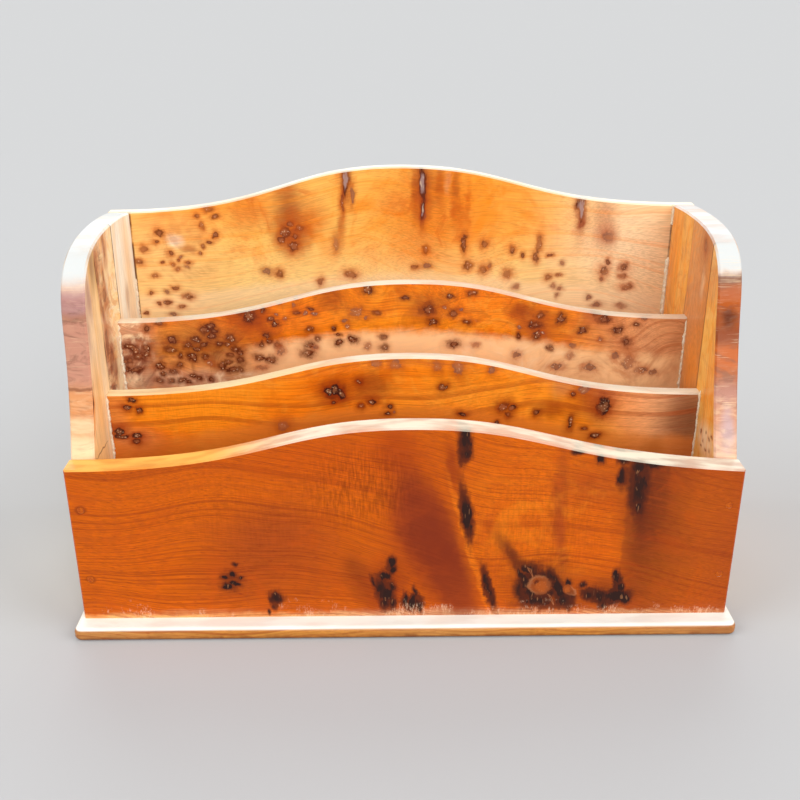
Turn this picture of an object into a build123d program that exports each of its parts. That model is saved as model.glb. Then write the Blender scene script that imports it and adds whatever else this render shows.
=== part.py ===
"""Desk letter box: a wavy-topped burl wood rack with three compartments for letters and papers.

Four upright boards with wavy tops stand on a base board. The front and back panels lap over the
ends of the two sides. Each side is glued up from three upright strips, and the ends of the two
dividers are let into rebates at the strips' rear edges.
X runs along the box, Y to the back and Z up, in millimetres, and the origin is the centre of the
base board's underside.
"""

import os

from build123d import *

# Body
body_width = 300.0  # over the outer faces of the two sides
front_thickness = 11.4
side_thickness = 10.6
front_divider_thickness = 7.0
rear_divider_thickness = 6.2
back_thickness = 7.0

# Clear depth of each compartment
front_pocket = 29.9
middle_pocket = 26.1
rear_pocket = 36.7

# Base board
base_thickness = 6.0
base_front_lip = 9.4
base_side_lip = 3.3
base_corner_radius = 4.0
base_nose_radius = 2.6  # rounds the top edge of the front and ends
base_heel_radius = 1.6  # rounds the edge under it

# Wavy tops: heights above the base board at the left end, the crest and the right end.
# A crest lies crest_x to the right of the middle.
front_left_height = 77.3
front_crest_height = 96.5
front_right_height = 75.0
front_crest_x = 2.0
front_right_fall = 5.4  # how far the right shoulder runs down to its end
front_divider_left_height = 95.7
front_divider_crest_height = 113.5
front_divider_right_height = 94.5
front_divider_crest_x = 2.2
rear_divider_left_height = 120.4
rear_divider_crest_height = 139.5
rear_divider_right_height = 120.9
rear_divider_crest_x = 3.3
back_left_height = 164.8
back_crest_height = 187.2
back_right_height = 167.3
back_crest_x = -1.6
shoulder_ease = 0.59  # how long the wave stays level at an end, as a share of that half
crest_ease = 0.41  # the same at the crest
arris_width = 0.7  # the worn edge along each wavy top and up the outer edges of the panels' ends

# Side outline: the front edge leans back from the front panel, then rounds over to the crown
left_edge_lean = 13.6  # how far behind the front panel the lean ends
left_lean_height = 131.0  # the height above the base board where it ends
left_edge_slope = 0.08  # how far back the edge still runs there for each millimetre up
left_crown_height = 167.3
right_edge_lean = 21.5
right_lean_height = 140.0
right_edge_slope = 0.2
right_crown_height = 169.1
lean_start_drop = 1.5  # how far below the front panel's end the lean starts
lean_start_slope = 0.42
crown_setback = 80.0  # from the front panel's face to the crown
corner_rise_ease = 0.74  # the round corner's curve handles, as shares of its rise and depth
corner_depth_ease = 0.78
crown_ease = 0.5  # how long the crown stays level towards the back, as a share of the run
side_arris_width = 0.8

# Joints
housing_depth = 3.0  # how far each divider end is let into the side
housing_gap = 0.15  # clearance round a divider end

# Pins and the filler plugs that hide them
pin_radius = 0.8
pin_length = 24.0
pin_clearance = 0.08
pin_end_gap = 0.6
plug_radius = 1.5
plug_depth = 2.4
front_pin_low = 21.5
front_pin_high = 57.5
back_pin_low = 30.0
back_pin_high = 128.0
base_pin_length = 20.0
base_pin_recess = 0.5
base_pin_inset = 40.0  # from the body's outer faces to the pins of the front and back panels

# Places along Y, from the front of the base board to the back
body_depth = (
    front_thickness
    + front_pocket
    + front_divider_thickness
    + middle_pocket
    + rear_divider_thickness
    + rear_pocket
    + back_thickness
)
base_depth = base_front_lip + body_depth
front_face_y = base_front_lip - base_depth / 2
front_rear_y = front_face_y + front_thickness
front_divider_y = front_rear_y + front_pocket
front_divider_rear_y = front_divider_y + front_divider_thickness
rear_divider_y = front_divider_rear_y + middle_pocket
rear_divider_rear_y = rear_divider_y + rear_divider_thickness
back_face_y = rear_divider_rear_y + rear_pocket
back_rear_y = back_face_y + back_thickness

# Places along X
half_body = body_width / 2
inner_half = half_body - side_thickness
divider_half = inner_half + housing_depth - housing_gap
side_centre_x = half_body - side_thickness / 2
base_pin_x = half_body - base_pin_inset


def facing_front(y):
    """The upright plane at y, seen from the front, with its origin on the base board."""
    return Plane(origin=(0, y, base_thickness), x_dir=(1, 0, 0), z_dir=(0, -1, 0))


def facing_back(y):
    """The upright plane at y, seen from behind."""
    return Plane(origin=(0, y, base_thickness), x_dir=(-1, 0, 0), z_dir=(0, 1, 0))


def facing_right(x):
    """The upright plane at x, seen from the right, with local X running to the back."""
    return Plane(origin=(x, 0, base_thickness), x_dir=(0, 1, 0), z_dir=(1, 0, 0))


def facing_down(z):
    """The level plane at z, seen from below."""
    return Plane(origin=(0, 0, z), x_dir=(1, 0, 0), z_dir=(0, 0, -1))


def draw_wavy_board(half, left, crest, right, crest_x, right_fall=0.0):
    """A board's front outline: level foot, upright ends and two curves that meet at the crest."""
    left_reach = half + crest_x
    right_reach = half - crest_x
    Bezier(
        (-half, left),
        (-half + shoulder_ease * left_reach, left),
        (crest_x - crest_ease * left_reach, crest),
        (crest_x, crest),
    )
    Bezier(
        (crest_x, crest),
        (crest_x + crest_ease * right_reach, crest),
        (half - shoulder_ease * right_reach, right + right_fall),
        (half, right),
    )
    Polyline((half, right), (half, 0), (-half, 0), (-half, left))


def draw_side(front_end, lean, lean_height, slope, crown_height, back_end):
    """A whole side's outline, seen from the right."""
    lean_start = front_end - lean_start_drop
    lean_reach = (lean_height - lean_start) / 3
    lean_end_y = front_rear_y + lean
    crown_y = front_face_y + crown_setback
    rise_reach = corner_rise_ease * (crown_height - lean_height)
    depth_reach = corner_depth_ease * (crown_y - lean_end_y)
    crown_reach = crown_ease * (back_face_y - crown_y)
    Line((front_rear_y, 0), (front_rear_y, lean_start))
    Bezier(
        (front_rear_y, lean_start),
        (front_rear_y + lean_start_slope * lean_reach, lean_start + lean_reach),
        (lean_end_y - slope * lean_reach, lean_height - lean_reach),
        (lean_end_y, lean_height),
    )
    Bezier(
        (lean_end_y, lean_height),
        (lean_end_y + slope * rise_reach, lean_height + rise_reach),
        (crown_y - depth_reach, crown_height),
        (crown_y, crown_height),
    )
    Bezier(
        (crown_y, crown_height),
        (crown_y + crown_reach, crown_height),
        (back_face_y, back_end),
    )
    Polyline((back_face_y, back_end), (back_face_y, 0), (front_rear_y, 0))


def curved_edges(board):
    """The edges that follow a board's curved outline."""
    return board.edges().filter_by(GeomType.LINE, reverse=True)


def upright_edges(board, rank):
    """The upright end edges of a board's front face (rank 0) or rear face (rank -1)."""
    return board.edges().filter_by(Axis.Z).group_by(Axis.Y)[rank]


def keep(board, name):
    """Label a finished piece and write its file."""
    board.part.label = name
    export_step(board.part, f"parts/{name}.step")


os.makedirs("parts", exist_ok=True)
on_face = (Align.CENTER, Align.CENTER, Align.MIN)

# Pin places on the front and back faces, as (x, height above the base board)
hands = {"left": -1, "right": 1}
front_pins = {
    f"{hand}_{level}": (sign * side_centre_x, height)
    for hand, sign in hands.items()
    for level, height in (("low", front_pin_low), ("high", front_pin_high))
}
back_pins = {
    f"{hand}_{level}": (sign * side_centre_x, height)
    for hand, sign in hands.items()
    for level, height in (("low", back_pin_low), ("high", back_pin_high))
}

# Pin places on the underside, as (x, y), grouped by the board that they hold
front_row_y = front_rear_y - front_thickness / 2
back_row_y = back_face_y + back_thickness / 2
front_base_pins = {f"front_{hand}": (sign * base_pin_x, front_row_y) for hand, sign in hands.items()}
back_base_pins = {f"back_{hand}": (sign * base_pin_x, back_row_y) for hand, sign in hands.items()}
strip_spans = {
    "front": (front_rear_y, front_divider_rear_y),
    "middle": (front_divider_rear_y, rear_divider_rear_y),
    "rear": (rear_divider_rear_y, back_face_y),
}
side_base_pins = {
    f"{hand}_{strip}": (sign * side_centre_x, sum(strip_spans[strip]) / 2)
    for hand, sign in hands.items()
    for strip in ("front", "rear")
}
base_pins = front_base_pins | back_base_pins | side_base_pins
pin_hole_radius = pin_radius + pin_clearance
base_pin_top = base_pin_recess + base_pin_length
board_hole_depth = base_pin_top - base_thickness + pin_end_gap

# Base board: a thin plate whose front and ends are rounded to a soft nose
with BuildPart() as base_board:
    with BuildSketch() as base_outline:
        Rectangle(body_width + 2 * base_side_lip, base_depth)
        front_corners = base_outline.vertices().group_by(Axis.Y)[0]
        fillet(front_corners, radius=base_corner_radius)
    extrude(amount=base_thickness)
    top_rim = base_board.faces().sort_by(Axis.Z)[-1].edges()
    back_rim = top_rim.sort_by(Axis.Y)[-1]
    fillet([edge for edge in top_rim if edge is not back_rim], radius=base_nose_radius)
    under_rim = base_board.faces().sort_by(Axis.Z)[0].edges()
    under_back_rim = under_rim.sort_by(Axis.Y)[-1]
    fillet([edge for edge in under_rim if edge is not under_back_rim], radius=base_heel_radius)
    with Locations(facing_down(0)):
        with Locations([(x, -y) for x, y in base_pins.values()]):
            Hole(radius=pin_hole_radius, depth=base_thickness)
keep(base_board, "base_board")

# Front panel: the thickest board, lapped over the sides' front edges
with BuildPart() as front_panel:
    with BuildSketch(facing_front(front_rear_y)):
        with BuildLine():
            draw_wavy_board(
                half_body,
                front_left_height,
                front_crest_height,
                front_right_height,
                front_crest_x,
                front_right_fall,
            )
        make_face()
    extrude(amount=front_thickness)
    chamfer(curved_edges(front_panel) + upright_edges(front_panel, 0), length=arris_width)
    with Locations(facing_front(front_face_y)):
        with Locations(list(front_pins.values())):
            CounterBoreHole(
                radius=pin_hole_radius,
                counter_bore_radius=plug_radius + pin_clearance,
                counter_bore_depth=plug_depth,
                depth=front_thickness,
            )
    with Locations(facing_down(base_thickness)):
        with Locations([(x, -y) for x, y in front_base_pins.values()]):
            Hole(radius=pin_hole_radius, depth=board_hole_depth)
keep(front_panel, "front_panel")

# Front divider, with its ends in the front strips' rebates
with BuildPart() as front_divider:
    with BuildSketch(facing_front(front_divider_rear_y)):
        with BuildLine():
            draw_wavy_board(
                divider_half,
                front_divider_left_height,
                front_divider_crest_height,
                front_divider_right_height,
                front_divider_crest_x,
            )
        make_face()
    extrude(amount=front_divider_thickness - housing_gap)
    chamfer(curved_edges(front_divider), length=arris_width)
keep(front_divider, "front_divider")

# Rear divider, with its ends in the middle strips' rebates
with BuildPart() as rear_divider:
    with BuildSketch(facing_front(rear_divider_rear_y)):
        with BuildLine():
            draw_wavy_board(
                divider_half,
                rear_divider_left_height,
                rear_divider_crest_height,
                rear_divider_right_height,
                rear_divider_crest_x,
            )
        make_face()
    extrude(amount=rear_divider_thickness - housing_gap)
    chamfer(curved_edges(rear_divider), length=arris_width)
keep(rear_divider, "rear_divider")

# Back panel: the tallest board, lapped over the sides' rear edges
with BuildPart() as back_panel:
    with BuildSketch(facing_front(back_rear_y)):
        with BuildLine():
            draw_wavy_board(
                half_body,
                back_left_height,
                back_crest_height,
                back_right_height,
                back_crest_x,
            )
        make_face()
    extrude(amount=back_thickness)
    chamfer(curved_edges(back_panel) + upright_edges(back_panel, -1), length=arris_width)
    with Locations(facing_back(back_rear_y)):
        with Locations([(-x, height) for x, height in back_pins.values()]):
            CounterBoreHole(
                radius=pin_hole_radius,
                counter_bore_radius=plug_radius + pin_clearance,
                counter_bore_depth=plug_depth,
                depth=back_thickness,
            )
    with Locations(facing_down(base_thickness)):
        with Locations([(x, -y) for x, y in back_base_pins.values()]):
            Hole(radius=pin_hole_radius, depth=board_hole_depth)
keep(back_panel, "back_panel")

# Sides: each is shaped whole, then parted into its three strips
side_outlines = {
    "left": (
        front_left_height,
        left_edge_lean,
        left_lean_height,
        left_edge_slope,
        left_crown_height,
        back_left_height,
    ),
    "right": (
        front_right_height,
        right_edge_lean,
        right_lean_height,
        right_edge_slope,
        right_crown_height,
        back_right_height,
    ),
}
housings = {
    "left_front": (-inner_half, front_divider_y, front_divider_rear_y, front_divider_left_height),
    "left_middle": (-inner_half, rear_divider_y, rear_divider_rear_y, rear_divider_left_height),
    "right_front": (inner_half, front_divider_y, front_divider_rear_y, front_divider_right_height),
    "right_middle": (inner_half, rear_divider_y, rear_divider_rear_y, rear_divider_right_height),
}
front_hole_depth = plug_depth + pin_length + pin_end_gap - front_thickness
back_hole_depth = plug_depth + pin_length + pin_end_gap - back_thickness
for hand, outline in side_outlines.items():
    with BuildPart() as whole_side:
        with BuildSketch(facing_right(hands[hand] * side_centre_x)):
            with BuildLine():
                draw_side(*outline)
            make_face()
        extrude(amount=side_thickness / 2, both=True)
        chamfer(curved_edges(whole_side), length=side_arris_width)
    for strip_name, (near_y, far_y) in strip_spans.items():
        name = f"{hand}_{strip_name}"
        with BuildPart() as strip:
            add(whole_side.part)
            split(bisect_by=Plane.XZ.offset(-near_y), keep=Keep.BOTTOM)
            split(bisect_by=Plane.XZ.offset(-far_y), keep=Keep.TOP)
            if name in housings:
                wall_x, housing_y, housing_rear_y, end_height = housings[name]
                with Locations((wall_x, (housing_y + housing_rear_y) / 2, base_thickness)):
                    Box(
                        2 * housing_depth,
                        housing_rear_y - housing_y,
                        end_height + housing_gap,
                        align=on_face,
                        mode=Mode.SUBTRACT,
                    )
            if strip_name == "front":
                with Locations(facing_front(front_rear_y)):
                    with Locations([spot for key, spot in front_pins.items() if key.startswith(hand)]):
                        Hole(radius=pin_hole_radius, depth=front_hole_depth)
            if strip_name == "rear":
                with Locations(facing_back(back_face_y)):
                    with Locations([(-x, z) for key, (x, z) in back_pins.items() if key.startswith(hand)]):
                        Hole(radius=pin_hole_radius, depth=back_hole_depth)
            if name in side_base_pins:
                pin_x, pin_y = side_base_pins[name]
                with Locations(facing_down(base_thickness)):
                    with Locations((pin_x, -pin_y)):
                        Hole(radius=pin_hole_radius, depth=board_hole_depth)
        keep(strip, f"{hand}_side_{strip_name}")

# Head planes, with Z along the way each pin is driven
into_front = {
    spot: Plane(origin=(x, front_face_y, base_thickness + height), z_dir=(0, 1, 0))
    for spot, (x, height) in front_pins.items()
}
into_back = {
    spot: Plane(origin=(x, back_rear_y, base_thickness + height), z_dir=(0, -1, 0))
    for spot, (x, height) in back_pins.items()
}
into_base = {
    spot: Plane(origin=(x, y, 0), z_dir=(0, 0, 1))
    for spot, (x, y) in base_pins.items()
}

# Filler plugs, flush with the front and back panels
for wall, seats in (("front", into_front), ("back", into_back)):
    for spot, seat in seats.items():
        with BuildPart(seat) as plug:
            Cylinder(plug_radius, plug_depth, align=on_face)
        keep(plug, f"{wall}_plug_{spot}")

# Pins: headless, sunk below the face that they are driven into
for wall, seats, sink, length in (
    ("front", into_front, plug_depth, pin_length),
    ("back", into_back, plug_depth, pin_length),
    ("base", into_base, base_pin_recess, base_pin_length),
):
    for spot, seat in seats.items():
        with BuildPart(seat.offset(sink)) as pin:
            Cylinder(pin_radius, length, align=on_face)
        keep(pin, f"{wall}_pin_{spot}")
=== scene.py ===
# %% [markdown]
# # A desk letter box in varnished burl
#
# The box is a small letter rack: four upright boards with wavy tops step up from the front to the
# back between two sides, on a thin base board. The boards are cut from burl, the swollen growth of
# a tree that is full of buds, so that the figure changes from plain flowing grain to clusters of
# dark eyes, and a gloss varnish brings the colour up to amber.
#
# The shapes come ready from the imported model, in metres, with the origin under the middle of the
# base board. This lesson gives every board its own wood, adds the glue and filler that the maker
# left in the corners, and sets up a camera, a pale floor and soft lamps.

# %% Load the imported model
import math
import random

import bmesh
import bpy
from mathutils import Matrix, Vector


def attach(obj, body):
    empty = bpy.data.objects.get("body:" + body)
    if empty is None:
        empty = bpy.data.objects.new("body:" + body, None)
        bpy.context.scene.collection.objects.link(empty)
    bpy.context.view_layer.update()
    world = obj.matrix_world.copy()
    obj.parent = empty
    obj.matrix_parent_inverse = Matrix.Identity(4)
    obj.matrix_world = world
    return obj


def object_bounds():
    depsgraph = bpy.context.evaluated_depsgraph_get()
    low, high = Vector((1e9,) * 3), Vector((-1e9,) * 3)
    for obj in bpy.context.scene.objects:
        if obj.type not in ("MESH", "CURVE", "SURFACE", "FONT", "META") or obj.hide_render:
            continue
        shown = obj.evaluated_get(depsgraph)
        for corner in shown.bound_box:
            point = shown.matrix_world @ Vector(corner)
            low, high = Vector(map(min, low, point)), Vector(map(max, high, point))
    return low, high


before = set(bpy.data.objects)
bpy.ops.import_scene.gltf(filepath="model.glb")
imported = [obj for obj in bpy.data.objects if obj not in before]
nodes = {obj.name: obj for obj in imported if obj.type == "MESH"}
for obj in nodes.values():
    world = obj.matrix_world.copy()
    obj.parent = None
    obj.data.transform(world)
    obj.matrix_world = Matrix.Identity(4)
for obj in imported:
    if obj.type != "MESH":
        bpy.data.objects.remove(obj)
cad_low, cad_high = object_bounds()
scene = bpy.context.scene
MM = 0.001
size_mm = [round(v / MM, 1) for v in cad_high - cad_low]
print(len(nodes), "pieces in the model, size in mm:", size_mm)

# %% Places on the box, in millimetres
INNER_FACE = 139.4  # a side's inner face, from the middle of the box
EDGE = 144.7  # the middle of a side's front edge
FRONT_FACES = {"front_divider": -16.15, "rear_divider": 16.95, "back_panel": 59.85}
STRIP_JOINTS = (-9.15, 23.15, 59.85)  # depths where a side's strips meet each other and the back
print("places on the box noted")

# %% [markdown]
# ## The camera
#
# The camera stands close in front of the box and a little above it, about 45 cm away, so that the
# near boards look clearly wider than the far ones. Its place, its tilt and its lens were worked out
# together from the box's own corners. The three angles are turned into a rotation by hand: heading
# about the upright axis, then the tilt down, then a very small roll.

# %% Place the camera
camera_place = Vector((-0.007186, -0.448666, 0.282956))
heading, tilt_down, roll = (math.radians(a) for a in (0.678, 23.131, -0.128))

camera_data = bpy.data.cameras.new("camera")
camera_data.lens = 45.0
camera_data.sensor_width = 36.0
camera_data.clip_start = 0.01
camera_data.clip_end = 50.0
camera = bpy.data.objects.new("camera", camera_data)
camera.matrix_world = (
    Matrix.Translation(camera_place)
    @ Matrix.Rotation(-heading, 4, "Z")
    @ Matrix.Rotation(math.radians(90) - tilt_down, 4, "X")
    @ Matrix.Rotation(roll, 4, "Z")
)
scene.collection.objects.link(camera)
scene.camera = camera
looks_along = camera.matrix_world.to_3x3() @ Vector((0, 0, -1))
print("camera looks along", [round(v, 3) for v in looks_along])

# %% [markdown]
# ## Small helpers for shader nodes
#
# A material is a tree of nodes. These helpers place one node, set it up and wire it in one line
# each, so that the recipes below read like recipes. `fade` is a smooth step between two values, and
# is the tool for every soft edge in the wood: it is given where the step starts and where it ends.

# %% Node helpers
scene.view_settings.view_transform = "Standard"
VALUE, VECTOR, COLOR = "NodeSocketFloat", "NodeSocketVector", "NodeSocketColor"
MOST_NOISE = (0.3, 0.7)  # nearly all values of noise lie between these


def tone(red, green, blue):
    """A colour as a node wants it, from linear parts."""
    return (red, green, blue, 1.0)


def is_socket(value):
    """Whether a value comes from another node."""
    return isinstance(value, bpy.types.NodeSocket)


def wire(value, socket):
    """Link a socket to another, or write a plain value into it."""
    if is_socket(value):
        socket.id_data.links.new(value, socket)
    else:
        socket.default_value = value


def place(kind, inputs, **settings):
    """Add a node to its inputs' tree, set its options, and fill or link its inputs by name."""
    tree = next(value.id_data for value in inputs.values() if is_socket(value))
    node = tree.nodes.new(kind)
    for name, value in settings.items():
        setattr(node, name, value)
    for name, value in inputs.items():
        wire(value, node.inputs[name])
    return node


def calc(operation, *values):
    """One step of arithmetic."""
    inputs = dict(enumerate(values))
    return place("ShaderNodeMath", inputs, operation=operation).outputs[0]


def times(first, second):
    """The product of two values."""
    return calc("MULTIPLY", first, second)


def along(operation, *values):
    """One step of vector arithmetic."""
    node = place("ShaderNodeVectorMath", dict(enumerate(values)), operation=operation)
    return node.outputs["Value" if operation == "LENGTH" else "Vector"]


def stretch(vector, factors):
    """Coordinates stretched or squeezed along the three axes."""
    return along("MULTIPLY", vector, factors)


def part_of(vector, axis):
    """One of a vector's three parts."""
    return place("ShaderNodeSeparateXYZ", {0: vector}).outputs[axis]


def fade(value, low, high, start=0.0, end=1.0):
    """Start at low, end at high, with a smooth step between."""
    ends = {"Value": value, "From Min": low, "From Max": high, "To Min": start, "To Max": end}
    return place("ShaderNodeMapRange", ends, interpolation_type="SMOOTHSTEP").outputs[0]


def coat_over(share, under, over, mode="MIX"):
    """Lay one colour over another by a share."""
    ends = {0: share, 6: under, 7: over}
    return place("ShaderNodeMix", ends, data_type="RGBA", blend_type=mode).outputs[2]


def noise(vector, scale, detail=2.0, roughness=0.5, distortion=0.0):
    """The outputs of a noise node."""
    inputs = {"Vector": vector, "Scale": scale, "Detail": detail, "Roughness": roughness}
    return place("ShaderNodeTexNoise", {**inputs, "Distortion": distortion}).outputs


def clouds(*args, **options):
    """Noise with a mean of one half."""
    return noise(*args, **options)["Fac"]


def shaken(vector, scale, detail, reach):
    """The same coordinates, but noise moves each point, by half of reach at most on each axis."""
    shift = along("SUBTRACT", noise(vector, scale, detail)["Color"], (0.5, 0.5, 0.5))
    return along("ADD", vector, stretch(shift, reach))


def new_group(name, inputs, outputs):
    """A node group. Each input and output has a kind, or a number as a value's default.

    Returns the tree, its inputs and its end node's sockets."""
    tree = bpy.data.node_groups.new(name, "ShaderNodeTree")
    for label, kind in inputs.items():
        default = None if isinstance(kind, str) else kind
        kind = kind if default is None else VALUE
        socket = tree.interface.new_socket(label, in_out="INPUT", socket_type=kind)
        if default is not None:
            socket.default_value = default
    for label, kind in outputs.items():
        tree.interface.new_socket(label, in_out="OUTPUT", socket_type=kind)
    return tree, tree.nodes.new("NodeGroupInput").outputs, tree.nodes.new("NodeGroupOutput").inputs


def use_group(group, **inputs):
    """Place a node group, with spaces in socket names written as underscores."""
    named = {label.replace("_", " ").title(): value for label, value in inputs.items()}
    return place("ShaderNodeGroup", named, node_tree=group).outputs


print("node helpers ready")

# %% [markdown]
# ## Floor and lamps
#
# The floor is one large plane with an opening that the base board covers, so that some light
# reaches the box's underside. It is pale to the camera and in reflections, but darker to the soft
# light that it would throw back up, so that it doesn't wash out the varnish. The lamps are four far
# and very broad ones: one in front, one on each side so that the sides' inner faces are lit, and
# one behind that the upward faces mirror. Far lamps light the floor evenly, and broad ones make
# soft shadows.

# %% Floor
FLOOR_HALF = 20.0  # half of the floor's width, in metres
OPENING = (0.1505, 0.064)  # half sizes of the opening, in metres
DROP = 0.0002  # the floor lies this far below the base board

floor_mesh = bpy.data.meshes.new("floor")
floor_form = bmesh.new()
bmesh.ops.create_grid(floor_form, x_segments=3, y_segments=3, size=FLOOR_HALF)
for vert in floor_form.verts:
    for axis, half in enumerate(OPENING):
        if abs(vert.co[axis]) < FLOOR_HALF / 2:  # one of the two inner lines of the grid
            vert.co[axis] = math.copysign(half, vert.co[axis])
middle = [face for face in floor_form.faces if face.calc_center_median().length < MM]
bmesh.ops.delete(floor_form, geom=middle, context="FACES")
bmesh.ops.translate(floor_form, verts=floor_form.verts, vec=(0, 0, -DROP))
floor_form.to_mesh(floor_mesh)
floor_form.free()
floor = bpy.data.objects.new("floor", floor_mesh)
scene.collection.objects.link(floor)


def new_paint(name):
    """A new material, its tree and its shader."""
    paint = bpy.data.materials.new(name)
    paint.use_nodes = True
    return paint, paint.node_tree, paint.node_tree.nodes["Principled BSDF"]


def seen_share(tree):
    """One for rays from the camera, off gloss or through glass, and none for soft light."""
    path = tree.nodes.new("ShaderNodeLightPath").outputs
    seen = calc("MAXIMUM", path["Is Camera Ray"], path["Is Glossy Ray"])
    return calc("MAXIMUM", seen, path["Is Transmission Ray"])


floor_seen = tone(0.50, 0.505, 0.51)
floor_unseen = tone(0.30, 0.30, 0.30)
floor_paint, tree, shader = new_paint("pale_floor")
shader.inputs["Roughness"].default_value = 0.9
shader.inputs["Specular IOR Level"].default_value = 0.0
wire(coat_over(seen_share(tree), floor_unseen, floor_seen), shader.inputs["Base Color"])
from_below = tree.nodes.new("ShaderNodeNewGeometry").outputs["Backfacing"]
wire(calc("SUBTRACT", 1.0, from_below), shader.inputs["Alpha"])  # clear from below
floor_mesh.materials.append(floor_paint)

world = bpy.data.worlds.new("studio")
scene.world = world
world.use_nodes = True
tree = world.node_tree
sky = tree.nodes["Background"]
room_seen = tone(0.72, 0.725, 0.745)
room_unseen = tone(0.42, 0.42, 0.42)
wire(coat_over(seen_share(tree), room_unseen, room_seen), sky.inputs["Color"])
sky.inputs["Strength"].default_value = 1.0
print("floor and room ready")

# %% Lamps
lamps = {
    "front_lamp": dict(azimuth=12, elevation=27, spread=40, strength=1.9),
    "left_lamp": dict(azimuth=-75, elevation=27, spread=50, strength=1.6),
    "right_lamp": dict(azimuth=75, elevation=27, spread=50, strength=1.7),
    "back_lamp": dict(azimuth=180, elevation=32, spread=56, strength=1.3),
}
for name, lamp in lamps.items():
    data = bpy.data.lights.new(name, "SUN")
    data.angle = math.radians(lamp["spread"])
    data.energy = lamp["strength"]
    panel = bpy.data.objects.new(name, data)
    azimuth, elevation = math.radians(lamp["azimuth"]), math.radians(lamp["elevation"])
    level = math.cos(elevation)
    towards = Vector((math.sin(azimuth) * level, -math.cos(azimuth) * level, math.sin(elevation)))
    panel.rotation_mode = "QUATERNION"
    panel.rotation_quaternion = towards.to_track_quat("Z", "Y")
    scene.collection.objects.link(panel)
print(len(lamps), "lamps ready")

# %% [markdown]
# ## Grain
#
# Wood is a stack of yearly layers, cut through by the board's face. The group bends the coordinates
# with slow noise, which makes the layers flow. Then the bent height picks values from
# one-dimensional noise, which gives dark lines at uneven distances, as years are. Threads are the
# thin lines where the same noise crosses its middle value. Fibres and the short dashes of the pores
# are noise stretched a long way in the same bent coordinates, so that they follow the lines.

# %% Grain group
LAYERS_THROUGH = 160.0  # how many layers a metre of the board's thickness would hold
MIDDLE_OF_YEARS = 0.47  # the value of the noise at which a thread is drawn
THREAD_WIDTH = 0.035  # in the same noise
FIBRE_SIZE, FIBRE_PULL = 0.0005, (0.025, 1.0, 1.0)  # a fibre's size in metres, and its stretch
PORE_COUNTS = (260.0, 1500.0, 2300.0)  # pores to a metre along each axis
CLOUD_COUNT, CLOUD_PULL = 28.0, (0.35, 1.0, 1.0)  # clouds to a metre, and their stretch
LATE_WOOD = (0.52, 0.70)  # values of the noise where a dark line starts and is full

grain_group, given, result = new_group(
    "flowing grain",
    {"Vector": VECTOR, "Wander": 0.02, "Wander Scale": 9.0, "Line Spacing": 0.006},
    {**dict.fromkeys(("Lines", "Threads", "Fibre", "Pores", "Cloud"), VALUE), "Flow": VECTOR},
)
flow = shaken(given["Vector"], given["Wander Scale"], 1.5, given["Wander"])
year = calc("DIVIDE", part_of(flow, "Z"), given["Line Spacing"])
year = calc("ADD", year, times(part_of(flow, "Y"), LAYERS_THROUGH))
rough_line = {"W": year, "Scale": 1.0, "Detail": 3.0, "Roughness": 0.65}
years = place("ShaderNodeTexNoise", rough_line, noise_dimensions="1D").outputs["Fac"]
wire(fade(years, *LATE_WOOD), result["Lines"])
from_middle = calc("ABSOLUTE", calc("SUBTRACT", years, MIDDLE_OF_YEARS))
wire(fade(from_middle, 0.0, THREAD_WIDTH, 1.0, 0.0), result["Threads"])
wire(clouds(stretch(flow, FIBRE_PULL), 1.0 / FIBRE_SIZE, roughness=0.6), result["Fibre"])
dashes = clouds(stretch(flow, PORE_COUNTS), 1.0, detail=0.0)
wire(fade(dashes, 0.66, 0.78), result["Pores"])
wire(clouds(stretch(flow, CLOUD_PULL), CLOUD_COUNT, detail=3.0), result["Cloud"])
wire(flow, result["Flow"])
print("group:", grain_group.name)

# %% [markdown]
# ## Placed marks
#
# Every board has its own knots, and they don't fall at random, so each is placed one by one: where
# its middle is, how wide and high it is, and how far it leans. A Mapping node of the Texture kind
# turns and shrinks space round a mark until the mark is a ball of radius one, and the length of the
# vector is then the distance from its middle. The smallest of all the distances is enough to draw
# every mark on the board with one set of soft edges, and a smooth smallest lets near marks melt
# together. A mark reaches through the board's whole thickness.
#
# The renderer works out every node that it can as early as it can, and holds all the answers in a
# small store. A long list of marks would overflow it. So the marks go in rows of eight, and `rows`
# makes each row wait for the last one, by a share of its answer that is too small to see.

# %% Helpers for placed marks
THROUGH = 1.0  # a mark's reach through the board, in metres
ROW_OF_MARKS = 8
MELT = 0.45  # how far two marks that touch run into each other, as a share of a mark
USUAL_SOFTNESS = 0.8  # a shade is soft over this share of its size, inwards and outwards
NEXT_TO_NOTHING = (1e-9, 1e-9, 1e-9)


def from_mark(vector, mark):
    """The distance from a mark's middle, one at the mark's edge."""
    across, up, half_width, half_height, lean = (*mark, 0.0)[:5]
    ends = {
        "Vector": vector,
        "Location": (across * MM, 0.0, up * MM),
        "Rotation": (0.0, math.radians(lean), 0.0),
        "Scale": (half_width * MM, THROUGH, half_height * MM),
    }
    ball = place("ShaderNodeMapping", ends, vector_type="TEXTURE").outputs[0]
    return along("LENGTH", ball)


def rows(vector, marks, last):
    """Each mark with the coordinates to use, which for a new row are known only after last()."""
    for count, mark in enumerate(marks):
        if count and count % ROW_OF_MARKS == 0:
            vector = along("MULTIPLY_ADD", last(), NEXT_TO_NOTHING, vector)
        yield vector, mark


def marks_group(name, marks):
    """A group that gives the distance to the nearest of a board's marks, one at a mark's edge."""
    tree, given, result = new_group(name, {"Vector": VECTOR}, {"Distance": VALUE})
    nearest = None
    for vector, mark in rows(given["Vector"], marks, lambda: nearest):
        distance = from_mark(vector, mark)
        nearest = distance if nearest is None else calc("SMOOTH_MIN", nearest, distance, MELT)
    wire(nearest, result["Distance"])
    return tree


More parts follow.
